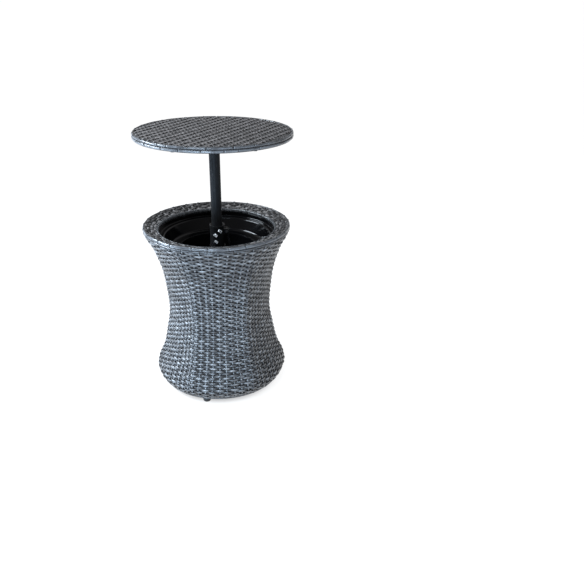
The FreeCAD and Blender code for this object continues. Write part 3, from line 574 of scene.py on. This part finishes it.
bands = {"base": Strands(), "waist": Strands(), "shoulder": Strands()}
for j, (ra, z) in enumerate(zip(row_arc, row_z)):
    az_row = stake_angle(m_all, ra / arc[-1])
    wobble = 0.24 * smooth_noise(n_around, 37, rng)
    zrow = np.interp(ra + sag(az_row, ra) + wobble, arc, zz)
    P, N = skin(az_row, np.clip(zrow, 24.2, 558.4))
    wave = np.cos(math.pi * (m_all + j))
    amp = 2.25 + 0.14 * smooth_noise(n_around, 60, rng)
    P = P + N * (-2.0 + amp * pressed(wave))[:, None]
    # sunk sets the painted shade in the strand material: darkest where the row passes under a
    # stake
    sunk = 0.5 - 0.5 * wave
    roll = 0.11 * smooth_noise(n_around, 60, rng) + 0.06 * rng.standard_normal()
    lean = sag(az_row, ra)
    lower, upper = (skin(az_row, np.clip(np.interp(e + lean, arc, zz), 24.0, 558.6))[0]
                    for e in (edges[j], edges[j + 1]))
    wide = (0.985 * np.linalg.norm(upper - lower, axis=1)
            + 0.12 * smooth_noise(n_around, 45, rng)) * (1.0 + 0.012 * rng.standard_normal())
    name = "base" if z < 172 else "waist" if z < 394 else "shoulder"
    shift = rng.integers(0, n_around)
    # each round is cut and joined at its own place, out of step with the rest
    P, N, roll, wide, sunk = (np.roll(q, -shift, axis=0)
                              for q in (P, N, roll, wide, sunk))
    bands[name].sweep(P, N, wide, 2.1, closed=True, roll=roll, deep=sunk,
                      start=rng.random() * 7)

for name, b in bands.items():
    o = b.make("woven_" + name, M_WEAVE, "stand")
    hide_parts("weave_" + name)

# dark backing strips inside the weave: painted shade for the body's shaded inside, seen through
# the gaps and from below
shade_backing = Strands()
m_few = np.arange(150) / 2.5 - STAKES / 2
for j, ra in enumerate(row_arc):
    az_row = stake_angle(m_few, ra / arc[-1])
    zrow = np.interp(ra + sag(az_row, ra), arc, zz)
    P, N = skin(az_row, np.clip(zrow, 27.0, 556.0))
    P = P - N * (6.0 + 0.3 * (j % 2))
    shade_backing.sweep(P, N, 9.4 + 0.1 * rng.standard_normal(), 0.7, closed=True,
                  start=rng.random() * 7, deep=np.full(len(P), 0.8))
o = shade_backing.make("woven_shade_backing", M_SHADE_BACKING, "stand")
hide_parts("weave_base", "weave_waist", "weave_shoulder")

row_knots = np.concatenate([[row_arc[0] - (edges[1] - edges[0])], row_arc,
                            [row_arc[-1] + (edges[-1] - edges[-2])]])
phase = np.arange(-1, rows + 1)
count_at = np.arange(-0.75, rows - 0.30, 0.25)
for half, name in ((range(-30, 0), "left"), (range(0, 30), "right")):
    stakes = Strands()
    for i in half:
        a0 = np.interp(count_at, phase, row_knots)
        az = stake_angle(i, a0 / arc[-1]) + math.radians(0.22) * rng.standard_normal() \
            + math.radians(0.12) * np.interp(np.arange(len(a0)), np.linspace(0, len(a0), 14),
                                             rng.standard_normal(14))
        s_z = np.interp(a0 + sag(az, a0), arc, zz)
        P, N = skin(az, s_z)
        wave = np.cos(math.pi * (count_at + i))
        P = P + N * (-2.2 - 1.05 * wave)[:, None]
        # deep gives painted shade where the stake passes under a row
        stakes.sweep(P, N, 6.4 + 0.2 * rng.standard_normal(), 1.7, deep=0.5 + 0.5 * wave,
                     start=rng.random() * 5)
    o = stakes.make("woven_stakes_" + name, M_WEAVE, "stand")
    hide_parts("weave_base", "weave_waist", "weave_shoulder")


# --------------------------------------------------------------------------
# hoops and wraps for the edges
# --------------------------------------------------------------------------
def hoop(store, radius, z, wide, thick, tilt, n=240, wobble=0.25, section=ROUNDED,
         tone=None, lumps=0, notches=(), notch=1.6, depth=1.8):
    """Round strand. wide runs along the meridian, tilt is the outward
    normal's angle above level, in degrees. At each notch the strand tucks in
    behind the next one."""
    a = np.arange(n) * 2 * math.pi / n
    cutin = np.zeros(n)
    for c in notches:
        d = (a - c + math.pi) % (2 * math.pi) - math.pi
        cutin = np.maximum(cutin, np.exp(-(d * radius / notch) ** 2))
    up = math.radians(tilt)
    N = np.stack([np.cos(a) * math.cos(up), np.sin(a) * math.cos(up),
                  np.full(n, math.sin(up))], -1)
    off = wobble * smooth_noise(n, max(lumps, 31), rng)
    P = np.stack([radius * np.cos(a), radius * np.sin(a), np.full(n, z)], -1)
    P = P + N * (off * 0.5 - depth * cutin)[:, None]
    B = np.stack([-np.cos(a) * math.sin(up), -np.sin(a) * math.sin(up),
                  np.full(n, math.cos(up))], -1)
    P = P + B * (wobble * 0.7 * smooth_noise(n, 43, rng))[:, None]
    # deep=cutin gives painted shade where the strand tucks in at a notch
    store.sweep(P, N, wide * (1 + 0.02 * smooth_noise(n, 40, rng)) * (1 - 0.2 * cutin),
                thick * (1 - 0.5 * cutin),
                section=section, closed=True,
                roll=0.06 * smooth_noise(n, 50, rng), start=rng.random() * 4,
                tone=tone, deep=cutin)


def wrap(store, az, path, wide=6.0, thick=0.9, slant=0.0, tone=None, bulge=0.0):
    """Short strip bound round an edge. path is (radius, z) in mm and slant
    the turn in radians from its first point to its last."""
    path = np.asarray(path, float)
    d = np.concatenate([[0], np.cumsum(np.linalg.norm(np.diff(path, axis=0), axis=1))])
    q = np.linspace(0, d[-1], max(10, int(d[-1] / 1.6)))
    rx, zx = cubic(d, path[:, 0])(q), cubic(d, path[:, 1])(q)
    dr, dz = np.gradient(rx), np.gradient(zx)
    a = az + slant * (q / d[-1] - 0.5)
    L = np.hypot(dr, dz)
    nr, nz = -dz / L, dr / L
    P = np.stack([rx * np.cos(a), rx * np.sin(a), zx], -1)
    N = np.stack([nr * np.cos(a), nr * np.sin(a), nz], -1)
    store.sweep(P, N, wide, thick, start=rng.random() * 3, tone=tone)


def ring_path(r0, z0, ar, az_, a0, a1, n=9):
    """Points round an ellipse, angles in degrees from outward, over the top."""
    t = np.radians(np.linspace(a0, a1, n))
    return [(r0 + ar * math.cos(x), z0 + az_ * math.sin(x)) for x in t]


# bottom binding
foot_edge = Strands()
hoop(foot_edge, 205.4, 21.9, 4.0, 3.4, -12, wobble=0.08)
hoop(foot_edge, 209.0, 26.9, 5.8, 2.2, -38, wobble=0.15)
for k in range(22):
    az = math.radians(k * 360 / 22 + 5 + 2.0 * rng.standard_normal())
    wrap(foot_edge, az, [(203.6, 26.0), (203.2, 21.6), (205.2, 19.9), (207.9, 21.4),
                         (209.3, 23.6), (212.6, 27.6), (212.0, 30.5)],
         wide=6.2, thick=0.7, slant=math.radians(rng.choice([-1, 1]) * 0.8))
o = foot_edge.make("base_binding", M_EDGE, "stand")
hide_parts("base_edge_band")

# --------------------------------------------------------------------------
# rim: four rounds of weave between the outer roll and the wrapped inner lip
# --------------------------------------------------------------------------
RIM_IN, RIM_OUT, RIM_Z, RIM_RISE = 193.0, 236.0, 562.5, 12.5


def rim_point(az, r):
    slope = RIM_RISE / (RIM_OUT - RIM_IN)
    z = RIM_Z + (r - RIM_IN) * slope
    n = np.stack([-slope * np.cos(az), -slope * np.sin(az), np.ones_like(az)], -1)
    return np.stack([r * np.cos(az), r * np.sin(az), z + 0 * az], -1), unit(n)


rim = Strands()
RIM_ROWS = 4
hoop(rim, 235.4, 571.4, 7.5, 1.8, 74, n=360, wobble=0.1, section=CROWNED)
rim_pitch = (RIM_OUT - 0.6 - 194.6) / RIM_ROWS
for j in range(RIM_ROWS):
    r = RIM_OUT - 0.6 - rim_pitch * (j + 0.5)
    rr = r + 0.3 * smooth_noise(n_around, 37, rng)
    P, N = rim_point(stake_angle(m_all, 1.0), rr)
    wave = np.cos(math.pi * (m_all + j))
    P = P + N * (-2.6 + 1.6 * pressed(wave))[:, None]
    # deep gives painted shade where the row passes under a stake
    rim.sweep(P, N, 9.8 + 0.15 * smooth_noise(n_around, 50, rng), 1.9, closed=True,
              roll=0.09 * smooth_noise(n_around, 60, rng), start=rng.random() * 5,
              deep=0.5 - 0.5 * wave)
# dark backing strips under the rim weave: painted shade for the hollow beneath it
rim_shade_backing = Strands()
for r in (200.5, 214.5, 228.5):
    hoop(rim_shade_backing, r, RIM_Z + (r - RIM_IN) * RIM_RISE / (RIM_OUT - RIM_IN) - 6.2, 15.2, 0.7,
         106.2, n=150, wobble=0.05, section=CROWNED)
o = rim_shade_backing.make("rim_shade_backing", M_SHADE_BACKING, "stand")
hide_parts("rim_weave")
q = np.linspace(RIM_OUT + 1.5, 194.2, RIM_ROWS * 6 + 2)
for i in range(STAKES):
    az = float(stake_angle(i - STAKES / 2, 1.0)) + math.radians(0.3) * rng.standard_normal()
    P, N = rim_point(np.full(len(q), az), q)
    wave = np.cos(math.pi * ((RIM_OUT - 0.6 - q) / rim_pitch - 0.5 + i))
    P = P + N * (-2.8 - 0.9 * wave)[:, None]
    # deep gives painted shade where the stake passes under a row
    rim.sweep(P, N, 6.6 + 0.2 * rng.standard_normal(), 1.6, start=rng.random() * 5,
              deep=0.5 + 0.5 * wave)
o = rim.make("woven_rim", M_RIM, "stand")
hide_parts("rim_weave")

def round_marks(count, first, jitter=2.2):
    return [math.radians(k * 360 / count + first + jitter * rng.standard_normal())
            for k in range(count)]


outer = Strands()
upper_marks, lower_marks = round_marks(25, 3), round_marks(25, 10)
hoop(outer, 237.6, 570.0, 10.6, 5.8, 27, n=1100, wobble=0.32, lumps=47,
     notches=[m + 0.016 for m in upper_marks], notch=1.5, depth=1.2)
hoop(outer, 238.4, 561.6, 5.0, 4.4, -6, n=1100, wobble=0.32, lumps=41,
     notches=lower_marks, notch=1.9, depth=2.2)
for az in upper_marks:
    wrap(outer, az, ring_path(237.3, 569.8, 3.5, 5.5, 165, -62),
         wide=5.4 + 0.4 * rng.standard_normal(), thick=0.8,
         slant=math.radians(1.3 * rng.choice([-1, 1])))
o = outer.make("rim_roll", M_EDGE, "stand")
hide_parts("rim_edge_band")

inner = Strands()
LIP = [(195.6, 562.4), (194.0, 562.9), (192.2, 562.5), (190.6, 561.0), (189.6, 558.8),
       (189.2, 556.2), (189.3, 553.9), (190.2, 552.4), (192.0, 552.0)]
WRAPS = 208
for k in range(WRAPS):
    az = 2 * math.pi * (k + 0.05 * rng.standard_normal()) / WRAPS
    j = 0.12 * rng.standard_normal()
    wrap(inner, az, [(r + j, z + j) for r, z in LIP[::-1]], wide=5.9, thick=1.1,
         slant=math.radians(0.9), tone=0.45 + 0.12 * rng.standard_normal())
o = inner.make("rim_lip", M_LIP, "stand")
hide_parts("rim_inner_band")

# --------------------------------------------------------------------------
# turned pieces with rounded corners
# --------------------------------------------------------------------------
def rounded(points, closed=True, steps=7):
    """Polygon of (radius, height, fillet) points with its corners rounded."""
    out, n = [], len(points)
    for i, (x, y, r) in enumerate(points):
        p = np.array([x, y], float)
        if r <= 0 or (not closed and i in (0, n - 1)):
            out.append(p)
            continue
        a = np.array(points[i - 1][:2], float) - p
        b = np.array(points[(i + 1) % n][:2], float) - p
        la, lb = np.linalg.norm(a), np.linalg.norm(b)
        a, b = a / la, b / lb
        half = 0.5 * math.acos(float(np.clip(a @ b, -1, 1)))
        d = min(r / math.tan(half), 0.49 * la, 0.49 * lb)
        r = d * math.tan(half)
        c = p + (a + b) / np.linalg.norm(a + b) * (r / math.sin(half))
        s0, s1 = p + a * d - c, p + b * d - c
        t0, t1 = math.atan2(s0[1], s0[0]), math.atan2(s1[1], s1[0])
        dt = (t1 - t0 + math.pi) % (2 * math.pi) - math.pi
        for k in range(steps + 1):
            t = t0 + dt * k / steps
            out.append(c + r * np.array([math.cos(t), math.sin(t)]))
    # a point close to each end of a long straight run keeps its shading flat
    kept = []
    for i, q in enumerate(out):
        kept.append(q)
        if not closed and i == len(out) - 1:
            break
        nxt = out[(i + 1) % len(out)]
        gap = np.linalg.norm(nxt - q)
        if gap > 4.0:
            kept += [q + (nxt - q) * (0.35 / gap), nxt - (nxt - q) * (0.35 / gap)]
    return np.array(kept)


def turned(name, points, material, body, around=180, centre=(0, 0), closed=True,
           steps=7):
    """Solid of revolution about an upright axis, from a section that is
    given anticlockwise."""
    ring = rounded(points, closed, steps)
    n, m = around, len(ring)
    a = np.arange(n) * 2 * math.pi / n
    v = np.zeros((n, m, 3))
    v[..., 0] = centre[0] + np.cos(a)[:, None] * ring[None, :, 0]
    v[..., 1] = centre[1] + np.sin(a)[:, None] * ring[None, :, 0]
    v[..., 2] = ring[None, :, 1]
    faces = []
    for i in range(n):
        i2 = (i + 1) % n
        for j in range(m if closed else m - 1):
            j2 = (j + 1) % m
            if ring[j][0] < 1e-6 and ring[j2][0] < 1e-6:
                continue
            q = [i * m + j, i2 * m + j, i2 * m + j2, i * m + j2]
            if ring[j][0] < 1e-6:
                q = [j, i2 * m + j2, i * m + j2]
            elif ring[j2][0] < 1e-6:
                q = [i * m + j, i2 * m + j, j2]
            faces.append(q)
    mesh = bpy.data.meshes.new(name)
    mesh.from_pydata((v.reshape(-1, 3) * MM).tolist(), [], faces)
    mesh.polygons.foreach_set("use_smooth", [True] * len(mesh.polygons))
    import bmesh
    bm = bmesh.new()
    bm.from_mesh(mesh)
    bmesh.ops.delete(bm, geom=[q for q in bm.verts if not q.link_faces], context="VERTS")
    bm.to_mesh(mesh)
    bm.free()
    mesh.set_sharp_from_angle(angle=math.radians(38))
    o = bpy.data.objects.new(name, mesh)
    scene.collection.objects.link(o)
    mesh.materials.append(material)
    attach(o, body)
    return o


# moulded basin: flange under the rim, rolled mouth, cone, step round the well
basin = turned("moulded_basin", [
    (192.6, 533.2, 0.6), (192.6, 551.4, 0.8), (189.2, 551.4, 1.2), (188.4, 536.6, 3.2),
    (172.2, 536.3, 5.5), (156.4, 495.2, 9.0), (124.2, 495.2, 5.0),
    (123.2, 487.0, 1.0), (126.2, 486.8, 0.6), (127.4, 492.6, 1.0), (158.4, 492.5, 6.0),
    (173.6, 533.2, 3.0)], M_TUB, "stand", around=220)
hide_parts("tub_basin")

# --------------------------------------------------------------------------
# collar screws: oblong heads with chamfered edges and a socket; the socket walls and floor take
# the dark pin material as painted shade
# --------------------------------------------------------------------------
def oblong(half_w, half_h, corner, n=6):
    pts = []
    for cx, cy, a0 in ((1, 1, 0), (-1, 1, 90), (-1, -1, 180), (1, -1, 270)):
        for k in range(n + 1):
            a = math.radians(a0 + 90 * k / n)
            pts.append(((half_w - corner) * cx + corner * math.cos(a),
                        (half_h - corner) * cy + corner * math.sin(a)))
    return np.array(pts)


head_v, head_f, head_socket_shade = [], [], []
for around_, high, half_w, half_h, turn, hole in (
        (-70.0, 553.0, 5.9, 4.3, -38.0, 2.3), (-102.0, 539.0, 5.9, 3.9, -44.0, 1.5),
        (-99.0, 516.5, 5.9, 3.0, -31.0, 1.2)):
    a = math.radians(around_)
    out_ = np.array([math.cos(a), math.sin(a), 0.0])
    side_ = np.cross([0, 0, 1.0], out_)
    c, q_ = math.cos(math.radians(turn)), math.sin(math.radians(turn))
    ex, ey = side_ * c + np.array([0, 0, q_]), -side_ * q_ + np.array([0, 0, c])
    levels = [(oblong(half_w, half_h, 1.1), 0.0), (oblong(half_w, half_h, 1.1), 6.1),
              (oblong(half_w - 0.6, half_h - 0.6, 0.8), 6.8),
              (oblong(hole, hole, hole * 0.98), 6.8),
              (oblong(hole * 0.94, hole * 0.94, hole * 0.9), 4.4)]
    m_ = len(levels[0][0])
    base_ = len(head_v)
    foot = out_ * 22.9 + np.array([0, 0, high])
    for ring_, rise in levels:
        head_v += [foot + ex * x + ey * y + out_ * rise for x, y in ring_]
    for lv in range(len(levels) - 1):
        for k in range(m_):
            k2 = (k + 1) % m_
            head_f.append([base_ + lv * m_ + k, base_ + lv * m_ + k2,
                           base_ + (lv + 1) * m_ + k2, base_ + (lv + 1) * m_ + k])
            head_socket_shade.append(lv == 3)
    head_f.append([base_ + k for k in range(m_)][::-1])
    head_socket_shade.append(False)
    head_f.append([base_ + 4 * m_ + k for k in range(m_)])
    head_socket_shade.append(True)
head_mesh = bpy.data.meshes.new("collar_bolts")
head_mesh.from_pydata([tuple(v * MM) for v in head_v], [], head_f)
head_mesh.materials.append(M_BRIGHT)
head_mesh.materials.append(M_PIN)
head_mesh.polygons.foreach_set("use_smooth", [True] * len(head_mesh.polygons))
head_mesh.polygons.foreach_set("material_index", [int(d) for d in head_socket_shade])
head_mesh.set_sharp_from_angle(angle=math.radians(30))
o = bpy.data.objects.new("collar_bolts", head_mesh)
scene.collection.objects.link(o)
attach(o, "stand")
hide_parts("collar_screws")

# --------------------------------------------------------------------------
# lid
# --------------------------------------------------------------------------
LID_TOP, LID_R = 878.0, 242.0
DIR = math.radians(57.5)
ALONG = np.array([math.cos(DIR), math.sin(DIR), 0.0])
SIDE = np.array([-math.sin(DIR), math.cos(DIR), 0.0])
BAR, ROW = 26.8, 9.2


def lid_dip(x, y):
    """The weave turns down where it goes under the edge."""
    r = np.hypot(x, y)
    e = np.clip((r - 233.0) / 9.0, 0, 1)
    return 3.4 * e * e


lid = Strands()
count = int(LID_R / ROW)
for j in range(-count, count + 1):
    v = j * ROW
    half = math.sqrt(max(LID_R ** 2 - (abs(v) + 1.5) ** 2, 1.0))
    if half < 14:
        continue
    n = int(2 * half / (BAR / SEG)) + 2
    u = np.linspace(-half, half, n)
    drift = 0.22 * np.interp(u, np.linspace(-half, half, 12), rng.standard_normal(12))
    C = ALONG[None] * (v + drift)[:, None] + SIDE[None] * u[:, None]
    wave = np.cos(math.pi * (u / BAR + j))
    z = LID_TOP - np.where(wave > 0, 3.5 - 2.35 * np.abs(wave) ** 1.6,
                           3.5 + 0.8 * np.abs(wave)) - lid_dip(C[:, 0], C[:, 1])
    P = C + np.array([0, 0, 1.0])[None] * z[:, None]
    N = np.tile([0, 0, 1.0], (n, 1))
    roll = 0.08 * np.interp(u, np.linspace(-half, half, 20), rng.standard_normal(20))
    # deep gives painted shade in the valleys between the bars, most where the row passes under a
    # bar
    lid.sweep(P, N, 9.0 + 0.10 * rng.standard_normal(), 1.7, roll=roll * 0.5,
              start=rng.random() * 6,
              deep=np.clip(0.72 - 0.95 * np.clip(wave, 0, 1) ** 1.2, 0, 1))
o = lid.make("woven_lid", M_LID, "lid")
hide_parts("lid_weave")
lid_bars = Strands()
bars = int(LID_R / BAR)
for i in range(-bars, bars + 1):
    u = i * BAR
    half = math.sqrt(max(LID_R ** 2 - (abs(u) + 1.5) ** 2, 1.0))
    n = int(2 * half / (ROW / 4)) + 2
    v = np.linspace(-half, half, n)
    C = SIDE[None] * (u + 0.3 * np.interp(v, np.linspace(-half, half, 9),
                                          rng.standard_normal(9)))[:, None] \
        + ALONG[None] * v[:, None]
    wave = np.cos(math.pi * (v / ROW + i))
    z = LID_TOP - 2.10 - 0.70 * wave - lid_dip(C[:, 0], C[:, 1])
    P = C + np.array([0, 0, 1.0])[None] * z[:, None]
    # deep gives slight painted shade where the bar passes under a weaver
    lid_bars.sweep(P, np.tile([0, 0, 1.0], (n, 1)), 6.6, 2.0, section=CROWNED,
                   start=rng.random() * 6, deep=0.06 + 0.06 * wave)
o = lid_bars.make("woven_lid_bars", M_LIDBAR, "lid")
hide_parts("lid_weave")

lid_edge = Strands()
hoop(lid_edge, 240.6, 871.2, 9.5, 1.2, 90, n=300, wobble=0.05, section=CROWNED, tone=0.1)
upper_marks, lower_marks = round_marks(26, 4), round_marks(26, 11)
hoop(lid_edge, 245.3, 872.7, 8.4, 6.8, 40, n=1150, wobble=0.32, lumps=47,
     notches=[m + 0.016 for m in upper_marks], notch=1.5, depth=1.3)
hoop(lid_edge, 246.3, 863.5, 8.4, 6.2, -4, n=1150, wobble=0.32, lumps=41,
     notches=lower_marks, notch=2.0, depth=2.4)
for az in upper_marks:
    wrap(lid_edge, az, ring_path(245.1, 872.5, 3.9, 4.2, 160, -75),
         wide=5.6 + 0.4 * rng.standard_normal(), thick=0.8,
         slant=math.radians(1.2 * rng.choice([-1, 1])))
o = lid_edge.make("lid_roll", M_EDGE, "lid")
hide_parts("lid_edge_band")

# --------------------------------------------------------------------------
# floor, light, camera
# --------------------------------------------------------------------------
floor_mesh = bpy.data.meshes.new("floor")
floor_mesh.from_pydata([(-900, -900, 0), (900, -900, 0), (900, 900, 0), (-900, 900, 0)],
                       [], [(0, 1, 2, 3)])
floor = bpy.data.objects.new("floor", floor_mesh)
floor.location.z = -0.0005
scene.collection.objects.link(floor)
tf = Tree("floor_pale")
tf.bsdf.inputs["Base Color"].default_value = (0.20, 0.20, 0.20, 1)
tf.bsdf.inputs["Roughness"].default_value = 0.9
tf.bsdf.inputs["Specular IOR Level"].default_value = 0.1
tf.bsdf.inputs["Emission Color"].default_value = (1, 1, 1, 1)
tf.bsdf.inputs["Emission Strength"].default_value = 0.94
# painted contact shadow: the floor's glow fades where the table stands on it
here = tf.node("TexCoord").outputs["Object"]
far = tf.node("VectorMath", operation="LENGTH")
tf.link(here, far.inputs[0])
painted_contact_shadow = tf.ramp(far.outputs["Value"], [(0.150, 0.0), (0.180, 0.60), (0.202, 0.96), (0.23, 1.0)])
speck = tf.noise(here, 90.0, 3.0, 0.6)
pale = tf.ramp(speck, [(0.2, 0.97), (0.8, 1.0)])
near = tf.mix(1.0, painted_contact_shadow, pale, "MULTIPLY")
# outside the picture the floor glows brighter and cooler: a painted pool of light that the weave
# reflects
fx, fy, fz = tf.node("SeparateXYZ").outputs
tf.link(here, fx.node.inputs[0])
front = tf.math("SUBTRACT", tf.math("MULTIPLY", fy, -1.0), 1.0)
left = tf.math("SUBTRACT", tf.math("MULTIPLY", fx, -1.0),
               tf.math("ADD", tf.math("MULTIPLY", fy, 0.313), 0.72))
away = tf.ramp(tf.math("MULTIPLY", tf.math("MAXIMUM", front, left), 2.0),
               [(0.0, 0.0), (1.0, 1.0)])
tf.link(tf.mix(away, near, (1.40, 1.66, 2.00)), tf.bsdf.inputs["Emission Color"])
floor_mesh.materials.append(tf.m)

world = bpy.data.worlds.new("studio")
scene.world = world
world.use_nodes = True
wt = world.node_tree
sky = wt.nodes.new("ShaderNodeTexCoord")
part = wt.nodes.new("ShaderNodeSeparateXYZ")
wt.links.new(sky.outputs["Generated"], part.inputs[0])
grade = wt.nodes.new("ShaderNodeValToRGB")
grade.color_ramp.elements[0].position = 0.085
grade.color_ramp.elements[0].color = (0.96, 0.96, 0.97, 1)
dim = grade.color_ramp.elements.new(0.185)
dim.color = (0.10, 0.10, 0.105, 1)
grade.color_ramp.elements[2].position = 0.85
grade.color_ramp.elements[2].color = (0.50, 0.495, 0.50, 1)
wt.links.new(part.outputs["Z"], grade.inputs["Fac"])
# a pale backdrop low behind the table
behind = wt.nodes.new("ShaderNodeValToRGB")
behind.color_ramp.elements[0].position = 0.25
behind.color_ramp.elements[0].color = (0, 0, 0, 1)
behind.color_ramp.elements[1].position = 0.85
behind.color_ramp.elements[1].color = (0.10, 0.10, 0.10, 1)
wt.links.new(part.outputs["Y"], behind.inputs["Fac"])
both = wt.nodes.new("ShaderNodeMix")
both.data_type = "RGBA"
both.blend_type = "ADD"
both.inputs[0].default_value = 1.0
wt.links.new(grade.outputs["Color"], both.inputs[6])
wt.links.new(behind.outputs["Color"], both.inputs[7])
wt.links.new(both.outputs[2], wt.nodes["Background"].inputs["Color"])
wt.nodes["Background"].inputs["Strength"].default_value = 1.0


def lamp(kind, name, energy, colour, azimuth, elevation, distance=2.6, size=1.2,
         size_y=None, aim=(0, 0, 0.5)):
    """Azimuth from the front, positive to the right, as seen by the camera."""
    data = bpy.data.lights.new(name, kind)
    data.energy = energy
    data.color = colour
    a, e = math.radians(azimuth), math.radians(elevation)
    way = Vector((math.sin(a) * math.cos(e), -math.cos(a) * math.cos(e), math.sin(e)))
    o = bpy.data.objects.new(name, data)
    o.location = Vector(aim) + way * distance
    o.rotation_mode = "QUATERNION"
    o.rotation_quaternion = way.to_track_quat("Z", "Y")
    scene.collection.objects.link(o)
    if kind == "SUN":
        data.angle = size
    else:
        data.shape = "RECTANGLE"
        data.size = size
        data.size_y = size_y or size
    return o


lamp("AREA", "softbox_left", 104.0, (0.80, 0.90, 1.0), -98, 34, distance=2.4,
     size=1.5, size_y=0.6, aim=(0, 0, 0.42))
lamp("AREA", "softbox_front", 33.0, (0.70, 0.85, 1.0), -22, 47, distance=2.6,
     size=0.9, size_y=0.7, aim=(0, 0, 0.45))
# low strips that graze the weave
lamp("AREA", "strip_left", 13.0, (0.58, 0.78, 1.0), -76, 0.5, distance=1.55,
     size=0.7, size_y=0.40, aim=(0, 0, 0.24))
lamp("AREA", "strip_front", 19.0, (0.54, 0.76, 1.0), -20, 0.5, distance=1.60,
     size=1.0, size_y=0.40, aim=(0, 0, 0.24))

cam_data = bpy.data.cameras.new("camera")
cam = bpy.data.objects.new("camera", cam_data)
scene.collection.objects.link(cam)
scene.camera = cam
cam_data.sensor_width = 36.0
cam_data.lens = 39.476
cam_data.clip_start, cam_data.clip_end = 0.05, 3000.0
yaw, pitch_, roll_ = 0.12422, 0.43662, 0.01412
Fv = Vector((math.sin(yaw) * math.cos(pitch_), math.cos(yaw) * math.cos(pitch_),
             -math.sin(pitch_)))
Rv = Vector((math.cos(yaw), -math.sin(yaw), 0))
Uv = Rv.cross(Fv)
Xv = Rv * math.cos(roll_) + Uv * math.sin(roll_)
Yv = Uv * math.cos(roll_) - Rv * math.sin(roll_)
m = Matrix((Xv, Yv, -Fv)).transposed().to_4x4()
m.translation = Vector((0.0, -2.0239, 1.2633))
cam.matrix_world = m

scene.view_settings.view_transform = "Standard"
scene.view_settings.look = "None"
